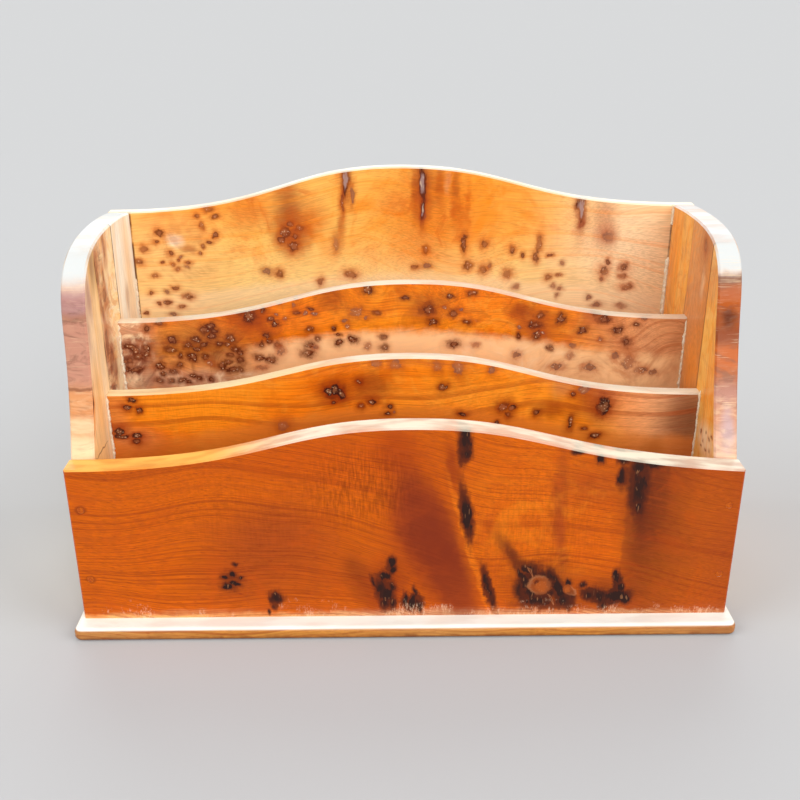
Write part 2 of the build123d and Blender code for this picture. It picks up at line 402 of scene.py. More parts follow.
def shades_group(name, shades):
    """A group that lays soft patches of other tones over a board's colour, in order."""
    tree, given, result = new_group(name, {"Vector": VECTOR, "Color": COLOR}, {"Color": COLOR})
    color, share = given["Color"], None
    for vector, shade in rows(given["Vector"], shades, lambda: share):
        mark, paint, strength, softness = (*shade, USUAL_SOFTNESS)[:4]
        distance = from_mark(vector, mark)
        share = fade(distance, 1.0 - softness, 1.0 + softness, strength, 0.0)
        color = coat_over(share, color, paint)
    wire(color, result["Color"])
    return tree


print("mark helpers ready")

# %% [markdown]
# ## The look of a knot
#
# A bud in burl is a small dark ring round a browner heart, with a soft rim and a wide halo of
# redder wood, and the few pale flecks over it are painted glints of light caught by the varnish.
# The group turns the distance to the nearest mark into those parts.
# Noise tears the edges so that no two look alike, and stretched noise makes upright streaks.

# %% Knot group
TORN_COUNT, UNEVEN_COUNT, GLINT_COUNT = 480.0, 110.0, 1150.0  # counts of noise to a metre
# Each part of a knot fades in between two distances from its middle, where 1 is the mark's edge
DARK, RIM, HALO, HEART, GLINT_FLECKS = (1.15, 0.8), (2.1, 0.9), (3.6, 1.0), (0.72, 0.3), (0.95, 0.5)

knot_group, given, result = new_group(
    "knot look",
    {"Vector": VECTOR, "Distance": 9.0, "Ragged": 1.2, "Stretch": VECTOR},
    {"Dark": VALUE, "Rim": VALUE, "Halo": VALUE, "Heart": VALUE, "Fleck": VALUE},
)
pulled = stretch(given["Vector"], given["Stretch"])
coarse = clouds(pulled, TORN_COUNT, detail=3.0, roughness=0.7)
torn = times(calc("SUBTRACT", coarse, 0.5), given["Ragged"])
edge = calc("ADD", given["Distance"], torn)
uneven = fade(clouds(given["Vector"], UNEVEN_COUNT, detail=1.0), 0.36, 0.6, 0.4, 1.0)
wire(times(fade(edge, *DARK), uneven), result["Dark"])
wire(fade(edge, *RIM), result["Rim"])
wire(fade(given["Distance"], *HALO), result["Halo"])
wire(fade(edge, *HEART), result["Heart"])
# Painted glints: pale flecks that stand for light caught by the varnish over a knot
glints = fade(clouds(pulled, GLINT_COUNT, detail=0.0), 0.66, 0.74)
wire(times(fade(edge, *GLINT_FLECKS), glints), result["Fleck"])
print("group:", knot_group.name)

# %% [markdown]
# ## Worn and pale upward faces
#
# Where the boards face up they are pale. This is partly wear, where hands and papers have rubbed
# the amber finish thin and the bare wood under it shows, and partly a painted highlight of the
# light from above, which the upward faces catch. The group compares the surface's own direction
# with straight up and lays a pale tone there, broken up along the edge by noise.

# %% Pale edge group
UPWARD = (0.5, 0.82)  # how far a face looks up where the paleness starts and is full
PATCH_COUNT, PATCH_PULL = 42.0, (1.0, 3.0, 0.6)

highlight_and_wear_group, given, result = new_group(
    "pale upward faces",
    {"Vector": VECTOR, "Normal": VECTOR, "Color": COLOR, "Pale": COLOR, "Patchy": 0.5},
    {"Color": COLOR},
)
upward = fade(part_of(given["Normal"], "Z"), *UPWARD)
patches = clouds(stretch(given["Vector"], PATCH_PULL), PATCH_COUNT, detail=3.0)
thin = fade(patches, 0.38, 0.62)
share = times(calc("SUBTRACT", 1.0, times(thin, given["Patchy"])), upward)
wire(coat_over(share, given["Color"], given["Pale"]), result["Color"])
print("group:", highlight_and_wear_group.name)

# %% [markdown]
# ## A thinner finish low in the slots
#
# The lower part of each inner board is painted paler and pinker. This is painted light: the board
# in front shades it from the warm light in front, so it shows mostly the pale light from above. Its
# upper border follows the wave of the board in front. The group makes that border from a cosine and
# gives a mask below it.

# %% Low band group
HALF_LENGTH = 0.142  # of the wave in front, in metres
BORDER_SWAY = 0.007  # how far noise moves the border, in metres
BORDER_EDGE = (-0.0020, 0.0045)  # how far below the border the mask starts and is full

painted_light_band_group, given, result = new_group(
    "painted light below a wave",
    {"Vector": VECTOR, "End Height": 0.08, "Crest Height": 0.1},
    {"Mask": VALUE},
)
angle = times(part_of(given["Vector"], "X"), math.pi / HALF_LENGTH)
wave = calc("MULTIPLY_ADD", calc("COSINE", angle), 0.5, 0.5)
rise = calc("SUBTRACT", given["Crest Height"], given["End Height"])
border = calc("MULTIPLY_ADD", wave, rise, given["End Height"])
uneven = clouds(given["Vector"], 90.0, detail=4.0, roughness=0.7)
uneven = calc("SUBTRACT", uneven, 0.5)
border = calc("MULTIPLY_ADD", uneven, BORDER_SWAY, border)
below = calc("SUBTRACT", border, part_of(given["Vector"], "Z"))
wire(fade(below, *BORDER_EDGE), result["Mask"])
print("group:", painted_light_band_group.name)

# %% [markdown]
# ## Scratches, curl and mottle
#
# Scratches are noise squeezed into thin lines: the stretch says which way they run. Curl is the
# silky cross ripple that twisted fibres give under varnish, and it is noise that runs across the
# grain and only makes the colour a little lighter and darker. Mottle is the cloudy stain of burl,
# from noise that is distorted by itself until it swirls. The last group finds the faces that look
# to the front.

# %% Scratch, curl and mottle groups
CURL_COUNTS = (1300.0, 60.0, 200.0)  # ripples to a metre along each axis
CURL_DARK, CURL_LIGHT = 0.72, 1.10  # what the ripple multiplies the colour by
SWIRL = 2.2  # how far the mottle's noise is distorted by itself
FORWARD = (0.25, 0.5)  # how far a face looks to the front where the mask starts and is full

scratch_group, given, result = new_group(
    "fine scratches", {"Vector": VECTOR, "Stretch": VECTOR}, {"Mask": VALUE}
)
squeezed = stretch(given["Vector"], given["Stretch"])
thin = fade(clouds(squeezed, 1.0, roughness=0.7), 0.56, 0.66)
gaps = fade(clouds(given["Vector"], 130.0), 0.42, 0.6)
wire(times(thin, gaps), result["Mask"])

curl_group, given, result = new_group(
    "silky curl", {"Vector": VECTOR, "Color": COLOR}, {"Color": COLOR}
)
ripple = clouds(stretch(given["Vector"], CURL_COUNTS), 1.0)
ripple = fade(ripple, 0.34, 0.66, CURL_DARK, CURL_LIGHT)
wire(coat_over(1.0, given["Color"], ripple, mode="MULTIPLY"), result["Color"])

mottle_group, given, result = new_group(
    "burl mottle", {"Vector": VECTOR, "Size": 30.0}, {"Mask": VALUE}
)
swirl = clouds(given["Vector"], given["Size"], 4.0, 0.6, SWIRL)
wire(fade(swirl, 0.46, 0.68), result["Mask"])

front_edge_group, given, result = new_group("front edge", {"Normal": VECTOR}, {"Mask": VALUE})
wire(fade(times(part_of(given["Normal"], "Y"), -1.0), *FORWARD), result["Mask"])
small_groups = (scratch_group, curl_group, mottle_group, front_edge_group)
print("groups:", ", ".join(group.name for group in small_groups))

# %% [markdown]
# ## Wood tones
#
# All boards share one small set of tones, named as a wood finisher would name them.

# %% Tones
amber = tone(0.53, 0.105, 0.002)
copper = tone(0.60, 0.108, 0.002)
rust = tone(0.56, 0.078, 0.002)
orange = tone(0.82, 0.165, 0.004)
flame = tone(0.90, 0.260, 0.010)
honey = tone(0.94, 0.400, 0.045)
apricot = tone(0.94, 0.500, 0.110)
straw = tone(0.93, 0.580, 0.220)
cream = tone(0.94, 0.700, 0.430)
ivory = tone(0.93, 0.900, 0.760)
bone = tone(0.90, 0.910, 0.830)
# painted highlight with wear: the white of the sides' crowns and shoulders, where they turn up to
# the light
highlight_and_wear_white = tone(0.63, 0.650, 0.640)
# painted highlight with wear: the pale of upward board edges, where light from above falls
highlight_and_wear_pale = tone(0.85, 0.790, 0.630)
tan = tone(0.46, 0.160, 0.060)
blush = tone(0.68, 0.280, 0.110)
mauve = tone(0.40, 0.210, 0.210)
sienna = tone(0.36, 0.056, 0.007)
garnet = tone(0.32, 0.034, 0.003)
claret = tone(0.20, 0.024, 0.007)
russet = tone(0.25, 0.028, 0.004)
umber = tone(0.10, 0.016, 0.005)
char = tone(0.022, 0.008, 0.007)
ash = tone(0.40, 0.200, 0.120)
slate = tone(0.17, 0.075, 0.050)
print("tones ready")

# %% Knot looks
streaks = dict(
    stretch=(1, 1, 0.2), ragged=1.7, halo=(russet, 0), rim=(umber, 0.75), dark=(char, 1),
    heart=(char, 0.9), fleck=(blush, 0.26),
)
ring_line = dict(
    streaks,
    stretch=(1, 1, 1), ragged=0.45, rim=(umber, 0), dark=(tan, 0.75), heart=(umber, 0.8),
)
ring_heart = dict(
    ring_line,
    ragged=0.9, dark=(tone(0.27, 0.052, 0.008), 1), heart=(tone(0.42, 0.09, 0.013), 0.7),
    fleck=(tan, 0.3),
)
eyes = dict(
    stretch=(1, 1, 1), ragged=1.5, halo=(sienna, 0.4), rim=(russet, 0.6), dark=(umber, 0.95),
    heart=(tan, 0.4), fleck=(cream, 0.3),
)
faint_eyes = dict(
    eyes,
    halo=(sienna, 0.3), rim=(sienna, 0.4), dark=(slate, 0.7), heart=(tan, 0.4), fleck=(cream, 0.15),
)
grey_streaks = dict(
    streaks,
    halo=(sienna, 0.35), rim=(russet, 0.6), dark=(umber, 0.95), heart=(tone(0.4, 0.27, 0.25), 0.7),
    fleck=(cream, 0.3),
)
print("looks of knots: streaks, a ring, eyes, faint eyes, grey streaks")

# %% [markdown]
# ## One recipe for every board
#
# The recipe goes in the order in which wood is made and used: a ground of two mixed tones, broad
# shades over it, then grain lines and fibres, then a band of painted light low in a slot, then
# stains, curl and burnt streaks, then knots with their halos and painted glints, then the finish
# with its wear and a painted highlight on upward faces. Only the values differ from board to board,
# so one function reads them from a small table, and `usual` holds what a board's table leaves out.
# Marks, shades and knots are looked up in loose coordinates, shaken by noise, so that no edge is a
# clean oval. The clear varnish is the shader's own coat, with constant values on its sockets, over
# a wood whose roughness and tiny relief vary. On the sides the grain stands upright, so their
# coordinates are taken in another order.

# %% Layers of a board
SHAKE_COUNT, SHAKE = 160.0, (0.004, 0.004, 0.004)  # noise to a metre, and its reach in metres
SPIKE_COUNT, SPIKES = 330.0, (0.0035, 0.0, 0.0100)  # the same for burnt streaks, which run upright
BLOTCH_PULL = (1.0, 0.45, 1.0)
DARK_FIBRE, LIGHT_FIBRE = 0.84, 1.08  # what the fibres multiply the colour by
PORE_SHARE = 0.8  # pores are this much weaker than threads
STAIN_EDGE, CURL_EDGE = (0.5, 1.4, 1.0, 0.0), (0.3, 1.3)  # full and gone, from a mark's middle
LINE_CORE = 0.4  # a joint's line is full over this share of its width
LINE_PATCHES, LINE_PATCHY, LEAST_LINE = 70.0, (0.38, 0.56), 0.25  # how a joint's line breaks up
SCUFF_COUNTS = (900.0, 90.0, 330.0)  # brushed scuffs to a metre along each axis
SCUFF_PATCHES = 60.0  # patches of them to a metre
SCUFF_SWAY, SCUFF_END = 0.045, 5.0  # how far their upper border sways, in m, and its width, in mm
SMEAR_PULL, DARK_COUNT, PALE_COUNT = (0.5, 0.5, 1.3), 90.0, 110.0  # smears on a front edge
SHOULDER, SMEARED, CREAMED = (0.150, 0.158), (0.100, 0.122), (0.098, 0.118)  # heights in metres
DARK_SHARE, PALE_SHARE, SCRATCH_SHARE = 0.6, 0.28, 0.35
SCRATCH_COUNTS = (70.0, 70.0, 2000.0)
SATIN = (0.36, 0.5)  # the wood's roughness, least and most
scuff_tone = tone(0.80, 0.52, 0.34)
usual = dict(
    side_face=False, grain_turn=(0, 0, 0), wander=0.02, wander_scale=9, spacing=0.006,
    line_depth=0.5, line_tone=sienna, threads=0.4, thread_tone=russet,
    mottle=[], shades=[], stains=[], blotches=[], curl=[], burns=[], marks=[], joints=[],
    band=None, scuffed_foot=None, edge_bands=None, pale=highlight_and_wear_pale, pale_left=None, patchy=0.3,
)


def reordered(vector, order):
    """The same coordinates with their parts in another order."""
    parts = {new: part_of(vector, old) for new, old in zip("XYZ", order)}
    return place("ShaderNodeCombineXYZ", parts).outputs[0]


def grain_space(where, figure):
    """The coordinates in which the grain runs along X: turned a little, or upright on a side."""
    if figure["side_face"]:
        return reordered(where, "ZXY")
    turn = [math.radians(angle) for angle in figure["grain_turn"]]
    ends = {"Vector": where, "Rotation": turn}
    return place("ShaderNodeMapping", ends, vector_type="TEXTURE").outputs[0]


def mottled(space, size):
    """The mask of the mottle."""
    return use_group(mottle_group, vector=space, size=size)["Mask"]


def grained(color, grain, figure):
    """Lines, threads, pores and fibres over a colour."""
    line_tone, thread_tone, threads = figure["line_tone"], figure["thread_tone"], figure["threads"]
    lines = ("Lines", line_tone, figure["line_depth"])
    fine_lines = ("Threads", thread_tone, threads), ("Pores", thread_tone, threads * PORE_SHARE)
    for layer, paint_over, share in (lines, *fine_lines):
        color = coat_over(times(grain[layer], share), color, paint_over)
    fibre = fade(grain["Fibre"], *MOST_NOISE, DARK_FIBRE, LIGHT_FIBRE)
    return coat_over(1.0, color, fibre, mode="MULTIPLY")


def stained(color, stains, swirls, loose):
    """Swirling stains over a colour: a size, a tone, a share, and maybe a mark for where."""
    for size, paint_over, share, *region in stains:
        stain = times(mottled(swirls, size), share)
        if region:
            distance = from_mark(loose, region[0])
            stain = times(stain, fade(distance, *STAIN_EDGE))
        color = coat_over(stain, color, paint_over)
    return color


def painted_light_low_band(color, band, where, loose, front):
    """Painted light low in a slot: two heights, a tone, a share, and maybe where it sets in."""
    end_height, crest_height, paint_over, share, *sets_in = band
    heights = dict(end_height=end_height, crest_height=crest_height)
    mask = use_group(painted_light_band_group, vector=where, **heights)["Mask"]
    mask = times(mask, front)
    if sets_in:
        start, end = (across * MM for across in sets_in)
        mask = times(mask, fade(part_of(loose, "X"), start, end, 0.2, 1.0))
    return coat_over(times(mask, share), color, paint_over)


def knotted(color, nearest, where, look):
    """Knots over a colour, from the distance to the nearest mark."""
    torn = dict(distance=nearest, ragged=look["ragged"], stretch=look["stretch"])
    knot = use_group(knot_group, vector=where, **torn)
    for layer in ("Halo", "Rim", "Dark", "Heart", "Fleck"):
        paint_over, share = look[layer.lower()]
        color = coat_over(times(knot[layer], share), color, paint_over)
    return color


def joint_lines(color, joints, where, front):
    """Thin dark lines at glued joints: an axis, a place and a half width in mm, and a share."""
    uneven = fade(clouds(where, LINE_PATCHES, detail=3.0), *LINE_PATCHY, LEAST_LINE, 1.0)
    for axis, middle, half_width, share in joints:
        offset = calc("SUBTRACT", part_of(where, axis), middle * MM)
        gap = calc("ABSOLUTE", offset)
        line = fade(gap, LINE_CORE * half_width * MM, half_width * MM, share, 0.0)
        line = times(line, uneven)
        if axis == "X":  # a corner between boards, seen only on the face that looks to the front
            line = times(line, front)
        color = coat_over(line, color, umber)
    return color


def scuffed(color, foot, where, loose):
    """Brushed scuffs along a board's foot, up to a height in millimetres, with a share."""
    height, share = foot
    brushed = stretch(where, SCUFF_COUNTS)
    brushed = clouds(brushed, 1.0, detail=4.0, roughness=0.8)
    patches = clouds(where, SCUFF_PATCHES, detail=4.0, roughness=0.7)
    scuffs = times(fade(brushed, 0.46, 0.62), fade(patches, 0.45, 0.6))
    sway = calc("SUBTRACT", 0.55, patches)
    rise = calc("MULTIPLY_ADD", sway, SCUFF_SWAY, part_of(loose, "Z"))
    low = fade(rise, height * MM, (height + SCUFF_END) * MM, share, 0.0)
    return coat_over(times(scuffs, low), color, scuff_tone)


def front_edge_highlight_and_wear(color, bands, where, loose, front):
    """A side's front edge: bands of tone that hold a painted highlight and sheen, dark and pale
    smears, and scratches.
    """
    edge = use_group(bands, vector=loose, color=color)["Color"]
    rise = part_of(loose, "Z")
    level = stretch(where, SMEAR_PULL)
    smears = times(mottled(level, DARK_COUNT), fade(rise, *SHOULDER, DARK_SHARE, 0.0))
    smears = times(smears, fade(rise, *SMEARED, 0.4, 1.0))
    edge = coat_over(smears, edge, slate)
    pale_smears = fade(rise, *CREAMED, PALE_SHARE, 0.05)
    edge = coat_over(times(mottled(level, PALE_COUNT), pale_smears), edge, cream)
    scratches = use_group(scratch_group, vector=where, stretch=SCRATCH_COUNTS)["Mask"]
    edge = coat_over(times(scratches, SCRATCH_SHARE), edge, cream)
    return coat_over(front, color, edge)


def varnish(shader, grain):
    """Satin wood under a thin clear coat."""
    wire(fade(grain["Cloud"], *MOST_NOISE, *SATIN), shader.inputs["Roughness"])
    relief = {"Height": grain["Fibre"], "Strength": 0.12, "Distance": 0.0003}
    wire(place("ShaderNodeBump", relief).outputs[0], shader.inputs["Normal"])
    shader.inputs["Specular IOR Level"].default_value = 0.1
    shader.inputs["Specular Tint"].default_value = tone(1.0, 0.6, 0.3)
    shader.inputs["Coat Weight"].default_value = 0.22
    shader.inputs["Coat Roughness"].default_value = 0.1


print("layers ready")

# %% Board material function
def varnished_wood(name, figure):
    """A board's material, from its table of tones, grain and marks."""
    figure = {**usual, **figure}
    paint, tree, shader = new_paint(name)
    where = tree.nodes.new("ShaderNodeTexCoord").outputs["Object"]
    normal = tree.nodes.new("ShaderNodeNewGeometry").outputs["Normal"]
    front = use_group(front_edge_group, normal=normal)["Mask"]
    grain = use_group(
        grain_group, vector=grain_space(where, figure), wander=figure["wander"],
        wander_scale=figure["wander_scale"], line_spacing=figure["spacing"],
    )
    loose = shaken(where, SHAKE_COUNT, 2.0, SHAKE)
    on_face = reordered(loose, "YXZ") if figure["side_face"] else loose

    color = coat_over(fade(grain["Cloud"], 0.35, 0.65), *figure["ground"])
    color = stained(color, figure["mottle"], grain["Flow"], on_face)
    if figure["shades"]:
        shades = shades_group(name + " shades", figure["shades"])
        color = use_group(shades, vector=on_face, color=color)["Color"]
    color = grained(color, grain, figure)
    # Painted light: a paler band low on an inner board, below the wave of the board in front
    if figure["band"]:
        color = painted_light_low_band(color, figure["band"], where, loose, front)
    color = stained(color, figure["stains"], grain["Flow"], on_face)
    color = stained(color, figure["blotches"], stretch(where, BLOTCH_PULL), on_face)
    for mark, strength in figure["curl"]:
        rippled = use_group(curl_group, vector=where, color=color)["Color"]
        curled = fade(from_mark(on_face, mark), *CURL_EDGE, strength, 0.0)
        color = coat_over(curled, color, rippled)
    if figure["burns"]:
        spiky = shaken(where, SPIKE_COUNT, 3.0, SPIKES)
        burns = shades_group(name + " burns", figure["burns"])
        color = use_group(burns, vector=spiky, color=color)["Color"]
    for kind, (marks, look) in enumerate(figure["marks"]):
        marks_tree = marks_group(f"{name} marks {kind}", marks)
        nearest = use_group(marks_tree, vector=on_face)["Distance"]
        color = knotted(color, nearest, where, look)
    color = joint_lines(color, figure["joints"], where, front)
    if figure["scuffed_foot"]:
        color = scuffed(color, figure["scuffed_foot"], where, loose)
    if figure["edge_bands"]:
        bands = shades_group(name + " edge bands", figure["edge_bands"])
        color = front_edge_highlight_and_wear(color, bands, where, loose, front)
    # Upward faces get a pale tone: partly wear, partly a painted highlight of the light from above
    pale = figure["pale"]
    if figure["pale_left"]:
        left_tone, start, end = figure["pale_left"]
        right_share = fade(part_of(loose, "X"), start * MM, end * MM)
        pale = coat_over(right_share, left_tone, pale)
    highlight_and_wear = dict(vector=where, normal=normal, color=color, pale=pale, patchy=figure["patchy"])
    wire(use_group(highlight_and_wear_group, **highlight_and_wear)["Color"], shader.inputs["Base Color"])
    varnish(shader, grain)
    return paint


def dress(node_name, paint):
    """Put a material on a CAD piece."""
    piece = nodes[node_name]
    piece.data.materials.clear()
    piece.data.materials.append(paint)


def dress_board(node_name, figure):
    """Give a board its own wood and say how many marks it has."""
    dress(node_name, varnished_wood(node_name + "_wood", figure))
    count = sum(len(marks) for marks, look in figure.get("marks", []))
    print(node_name, "dressed,", count, "marks")


print("recipe ready")

# %% [markdown]
# ## The front panel
#
# The front panel is the board that everyone sees first. Its left half is plain amber wood with long
# flowing lines, and its right half carries streaks, a ring of dark buds and a sharp change to
# browner wood. The lists give the knots' places, then the soft shades under them, the burnt streaks
# and the pale foot, all in millimetres: across, up, half width, half height and maybe a lean in
# degrees. A shade goes on with a tone, a share and maybe a softness.

# %% Front panel
front_knots = [
    (-77.8, 34.5, 1.2, 1.2), (-80, 29.5, 1.3, 0.9), (-83.5, 28, 1.6, 0.9), (-76.3, 28, 1.2, 0.9),
    (-79.5, 25, 1.4, 1), (-82, 22.8, 2.2, 1.4), (-77.5, 24.2, 1.2, 0.9), (-60.5, 16.5, 2.6, 3),
    (-61, 11.5, 1.2, 1.6), (-64, 9, 0.7, 1.1), (-6.8, 35.5, 1.4, 2.8, 4), (-5.4, 31.5, 1.3, 2),
    (-10, 28, 2.4, 2), (-12, 22, 2.2, 3.2, -12), (-9.5, 18, 2.6, 3.2), (-6.2, 22, 1.6, 2.6),
    (-10, 13, 1.8, 2.8), (-6, 13, 1.5, 3.2, 8), (-14.6, 24, 0.8, 3.4, -22), (0, 14.5, 1.2, 3.2),
    (3.6, 13.5, 1.6, 4, 6), (6.4, 12, 1.4, 3.6, -12), (4.6, 19, 0.8, 2.6, -10), (25.6, 96, 2.2, 7),
    (26, 90.5, 2.6, 2.4), (27.2, 60, 1.9, 11.5, -8), (38.3, 21, 1.4, 9.5, -15),
    (57, 31, 4, 2.8, 30), (54.6, 25, 1.8, 6.5, -28), (57.5, 18, 2.6, 3, -40), (61.5, 13.8, 5, 2.8),
    (67.5, 27, 3.2, 1.8, 60), (70.5, 20, 2.2, 5, -28), (74, 13.5, 2.2, 3.6, -20),
    (75, 23, 1.4, 1.8), (82, 22, 2, 1.6), (85.4, 17, 3, 2.4), (90, 15.5, 2.4, 4.8, -30),
    (92, 11, 2, 2), (97.2, 27, 1.3, 3.4, -6), (99, 21, 1.6, 2.8, -20), (98, 15.8, 4.4, 2.8),
    (102, 13.8, 2, 2), (75.5, 90.5, 2.4, 1.2), (85.5, 87.5, 2, 2.2), (95, 86, 2.8, 1.6),
    (95.3, 78.5, 1.8, 4), (103.4, 72, 2.9, 8.5), (102, 83, 2.8, 3.2), (107.8, 85, 3.2, 2.4),
    (104.4, 63, 1.5, 3.4),
]
front_shades = [
    ((249, 40, 150, 220), sienna, 0.85, 0.3), ((112, 50, 15, 42), umber, 0.75),
    ((-51.5, 50, 150, 260), copper, 0.85, 0.006), ((-130, 70, 60, 24, -8), copper, 0.4, 0.7),
    ((-30, 88, 44, 12), rust, 0.5, 0.7), ((-62, 48, 26, 16, -20), sienna, 0.75),
    ((-78, 24, 16, 12), sienna, 0.5), ((-46, 30, 24, 18), sienna, 0.5),
    ((-22, 27, 5, 12, -14), umber, 0.5), ((-9, 20, 10, 16), russet, 0.75, 0.7),
    ((8, 50, 15, 34, -14), garnet, 0.6, 0.6), ((-4, 92, 9, 11), garnet, 0.55, 0.7),
    ((3, 62, 8.5, 19, -4), claret, 0.6, 0.5), ((9, 50, 12, 22, -20), claret, 0.5, 0.6),
    ((17, 31, 12, 30, -22), claret, 0.55, 0.5), ((20.5, 83, 3, 11, -6), russet, 0.75),
    ((29, 41.5, 1.5, 36, -15.6), tone(0.88, 0.2, 0.006), 0.6, 0.5),
    ((26.4, 62, 0.9, 15, -12), umber, 0.7, 0.6), ((52, 66, 22, 34), orange, 0.45, 0.7),
    ((86, 45, 12, 26), tone(0.7, 0.125, 0.003), 0.6, 0.6), ((47, 40, 3, 15, -32), umber, 0.65),
    ((68.5, 68, 3, 24), sienna, 0.75), ((71, 42, 2, 16, -5), sienna, 0.75),
    ((82, 74, 14, 9), sienna, 0.55), ((62, 22, 15, 13), umber, 0.6, 0.7),
    ((92, 17, 15, 9), umber, 0.65, 0.7), ((134, 62, 18, 16, -20), amber, 0.5),
    ((128, 26, 20, 18), amber, 0.45), ((105, 70, 9, 22), umber, 0.55),
]
front_burns = [
    ((5, 60, 7, 20, -8), claret, 0.4, 0.6), ((17, 50, 5, 22, -15), claret, 0.55, 0.45),
    ((20, 28, 8, 30, -20), claret, 0.6, 0.35), ((103, 75, 4.6, 15), char, 0.85, 0.35),
    ((107, 86.5, 9, 3.2, 18), char, 0.8, 0.5), ((96, 78, 2.4, 6), umber, 0.8, 0.6),
    ((105, 60, 2.4, 14, -6), umber, 0.5), ((25.5, 93, 3.2, 9), umber, 0.92, 0.28),
    ((27, 60, 3, 14, -8), umber, 0.92, 0.28), ((38, 21, 2.6, 12, -15), umber, 0.92, 0.28),
    ((-10, 20, 4.6, 10, -12), umber, 0.95, 0.3), ((-6.8, 33, 2.4, 4.4, 0), umber, 0.85, 0.3),
    ((3, 13.5, 5.5, 4.5), umber, 0.92, 0.28), ((-80, 26, 5, 6), umber, 0.65, 0.6),
    ((-60.5, 15.5, 3.2, 3.6), umber, 0.85, 0.3), ((50, 36, 2.2, 11, -32), umber, 0.6),
    ((60.5, 21.5, 11, 9, -25), char, 0.97, 0.25), ((74, 15, 5, 6, -30), char, 0.95, 0.35),
    ((66, 11, 14, 2.4), umber, 0.8, 0.6), ((95, 15.5, 10, 4.2), char, 0.95, 0.35),
    ((85, 17.5, 4, 3), char, 0.85, 0.35), ((98, 22, 2.6, 7, -8), char, 0.92, 0.4),
]
front_pale = [
    ((-128, 5.8, 34, 2.2), straw, 0.6, 0.6), ((-60, 6, 50, 2), straw, 0.5, 0.7),
    ((-96, 8.5, 26, 1.6), blush, 0.5), ((10, 6.2, 50, 3), tone(0.6, 0.36, 0.2), 0.65, 0.7),
    ((90, 6, 70, 2.2), tone(0.66, 0.34, 0.16), 0.6, 0.7),
    ((-144.7, 63.5, 2.9, 1.9), umber, 0.6, 0.25), ((-144.7, 27.5, 2.4, 1.8), umber, 0.45, 0.25),
]
front_ring = [
    (61.8, 22.5, 5.2, 5.6, -38), (76.4, 18.8, 2.4, 3, -20), (67.2, 14.4, 0.5, 3.4, -30),
    (57.2, 29.6, 0.5, 3, -26),
]
front_figure = dict(
    ground=(amber, copper), grain_turn=(0, 9, 0), wander=0.05, wander_scale=7, spacing=0.005,
    line_depth=0.42, shades=front_shades + front_pale, burns=front_burns, threads=0.5,
    stains=[(34, rust, 0.25), (70, sienna, 0.22), (26, flame, 0.3, (62, 56, 36, 30))],
    curl=[((-20, 74, 26, 22), 1), ((60, 50, 34, 40), 0.4), ((-70, 60, 40, 26), 0.25)],
    marks=[
        (front_knots, streaks), (front_ring, ring_line),
        ([(62.8, 21.9, 4.7, 5, -38), (75.3, 19.4, 2.4, 3, -20)], ring_heart),
        ([(60.6, 23.9, 0.9, 1.5, 30)], dict(ring_heart, dark=(umber, 0.7), heart=(umber, 0.6))),
    ],
    scuffed_foot=(8, 0.5), pale_left=(apricot, -90, -40), patchy=0.45,
)
dress_board("front_panel", front_figure)

# %% [markdown]
# ## The two dividers
#
# The dividers stand in the shade between taller and lower boards. The front one is plain glowing
# orange wood with a few dark eyes. The rear one is the liveliest board of all, peppered with small
# buds, greyish and pale at its left end and plain at its right end.

# %% Front divider
front_divider_eyes = [
    (-127.5, 99.5, 1.6, 1.2), (-130.5, 95.5, 1.8, 1.4), (-125, 94, 1.6, 1.6), (-135, 83, 2.4, 1.8),
    (-134, 80.5, 3.2, 1), (-127, 80.5, 2.4, 1.2), (-127.5, 78, 2, 1.3), (-36, 103, 2.2, 2),
    (-32, 104, 2.5, 2.6), (-29.5, 102, 1.6, 2.6), (-33, 97.5, 1.2, 0.8), (-21, 108, 1.5, 1.3),
    (-20.5, 95, 1.5, 1.3), (-15, 97.5, 2, 1.2), (-7, 95.5, 1.4, 1), (-8, 91.5, 1.4, 1.1),
    (18, 104.5, 2, 1.8), (27, 91, 1.8, 1.2), (47, 94, 2.4, 2.6), (50.5, 93, 2, 1.5),
    (49, 90, 1.6, 1.3), (43.5, 86.5, 1, 1), (63, 91, 1.8, 1.8), (79, 86.5, 1.6, 3, 12),
    (85.5, 83, 1.3, 1), (91, 79, 2.4, 1.5), (94, 94, 3.2, 4.5), (79.5, 100.5, 1.2, 1.2),
]
front_divider_dim = [
    (-13, 117, 2.5, 1.5), (-4, 116, 2.6, 2.2), (15.5, 115.5, 1.8, 2.6), (25.5, 114, 2.4, 4),
    (41, 113.5, 1.6, 2.2), (-58, 85.5, 2.6, 2.6), (84.5, 103, 2.6, 2.6), (-5, 92.5, 0.8, 0.8),
]
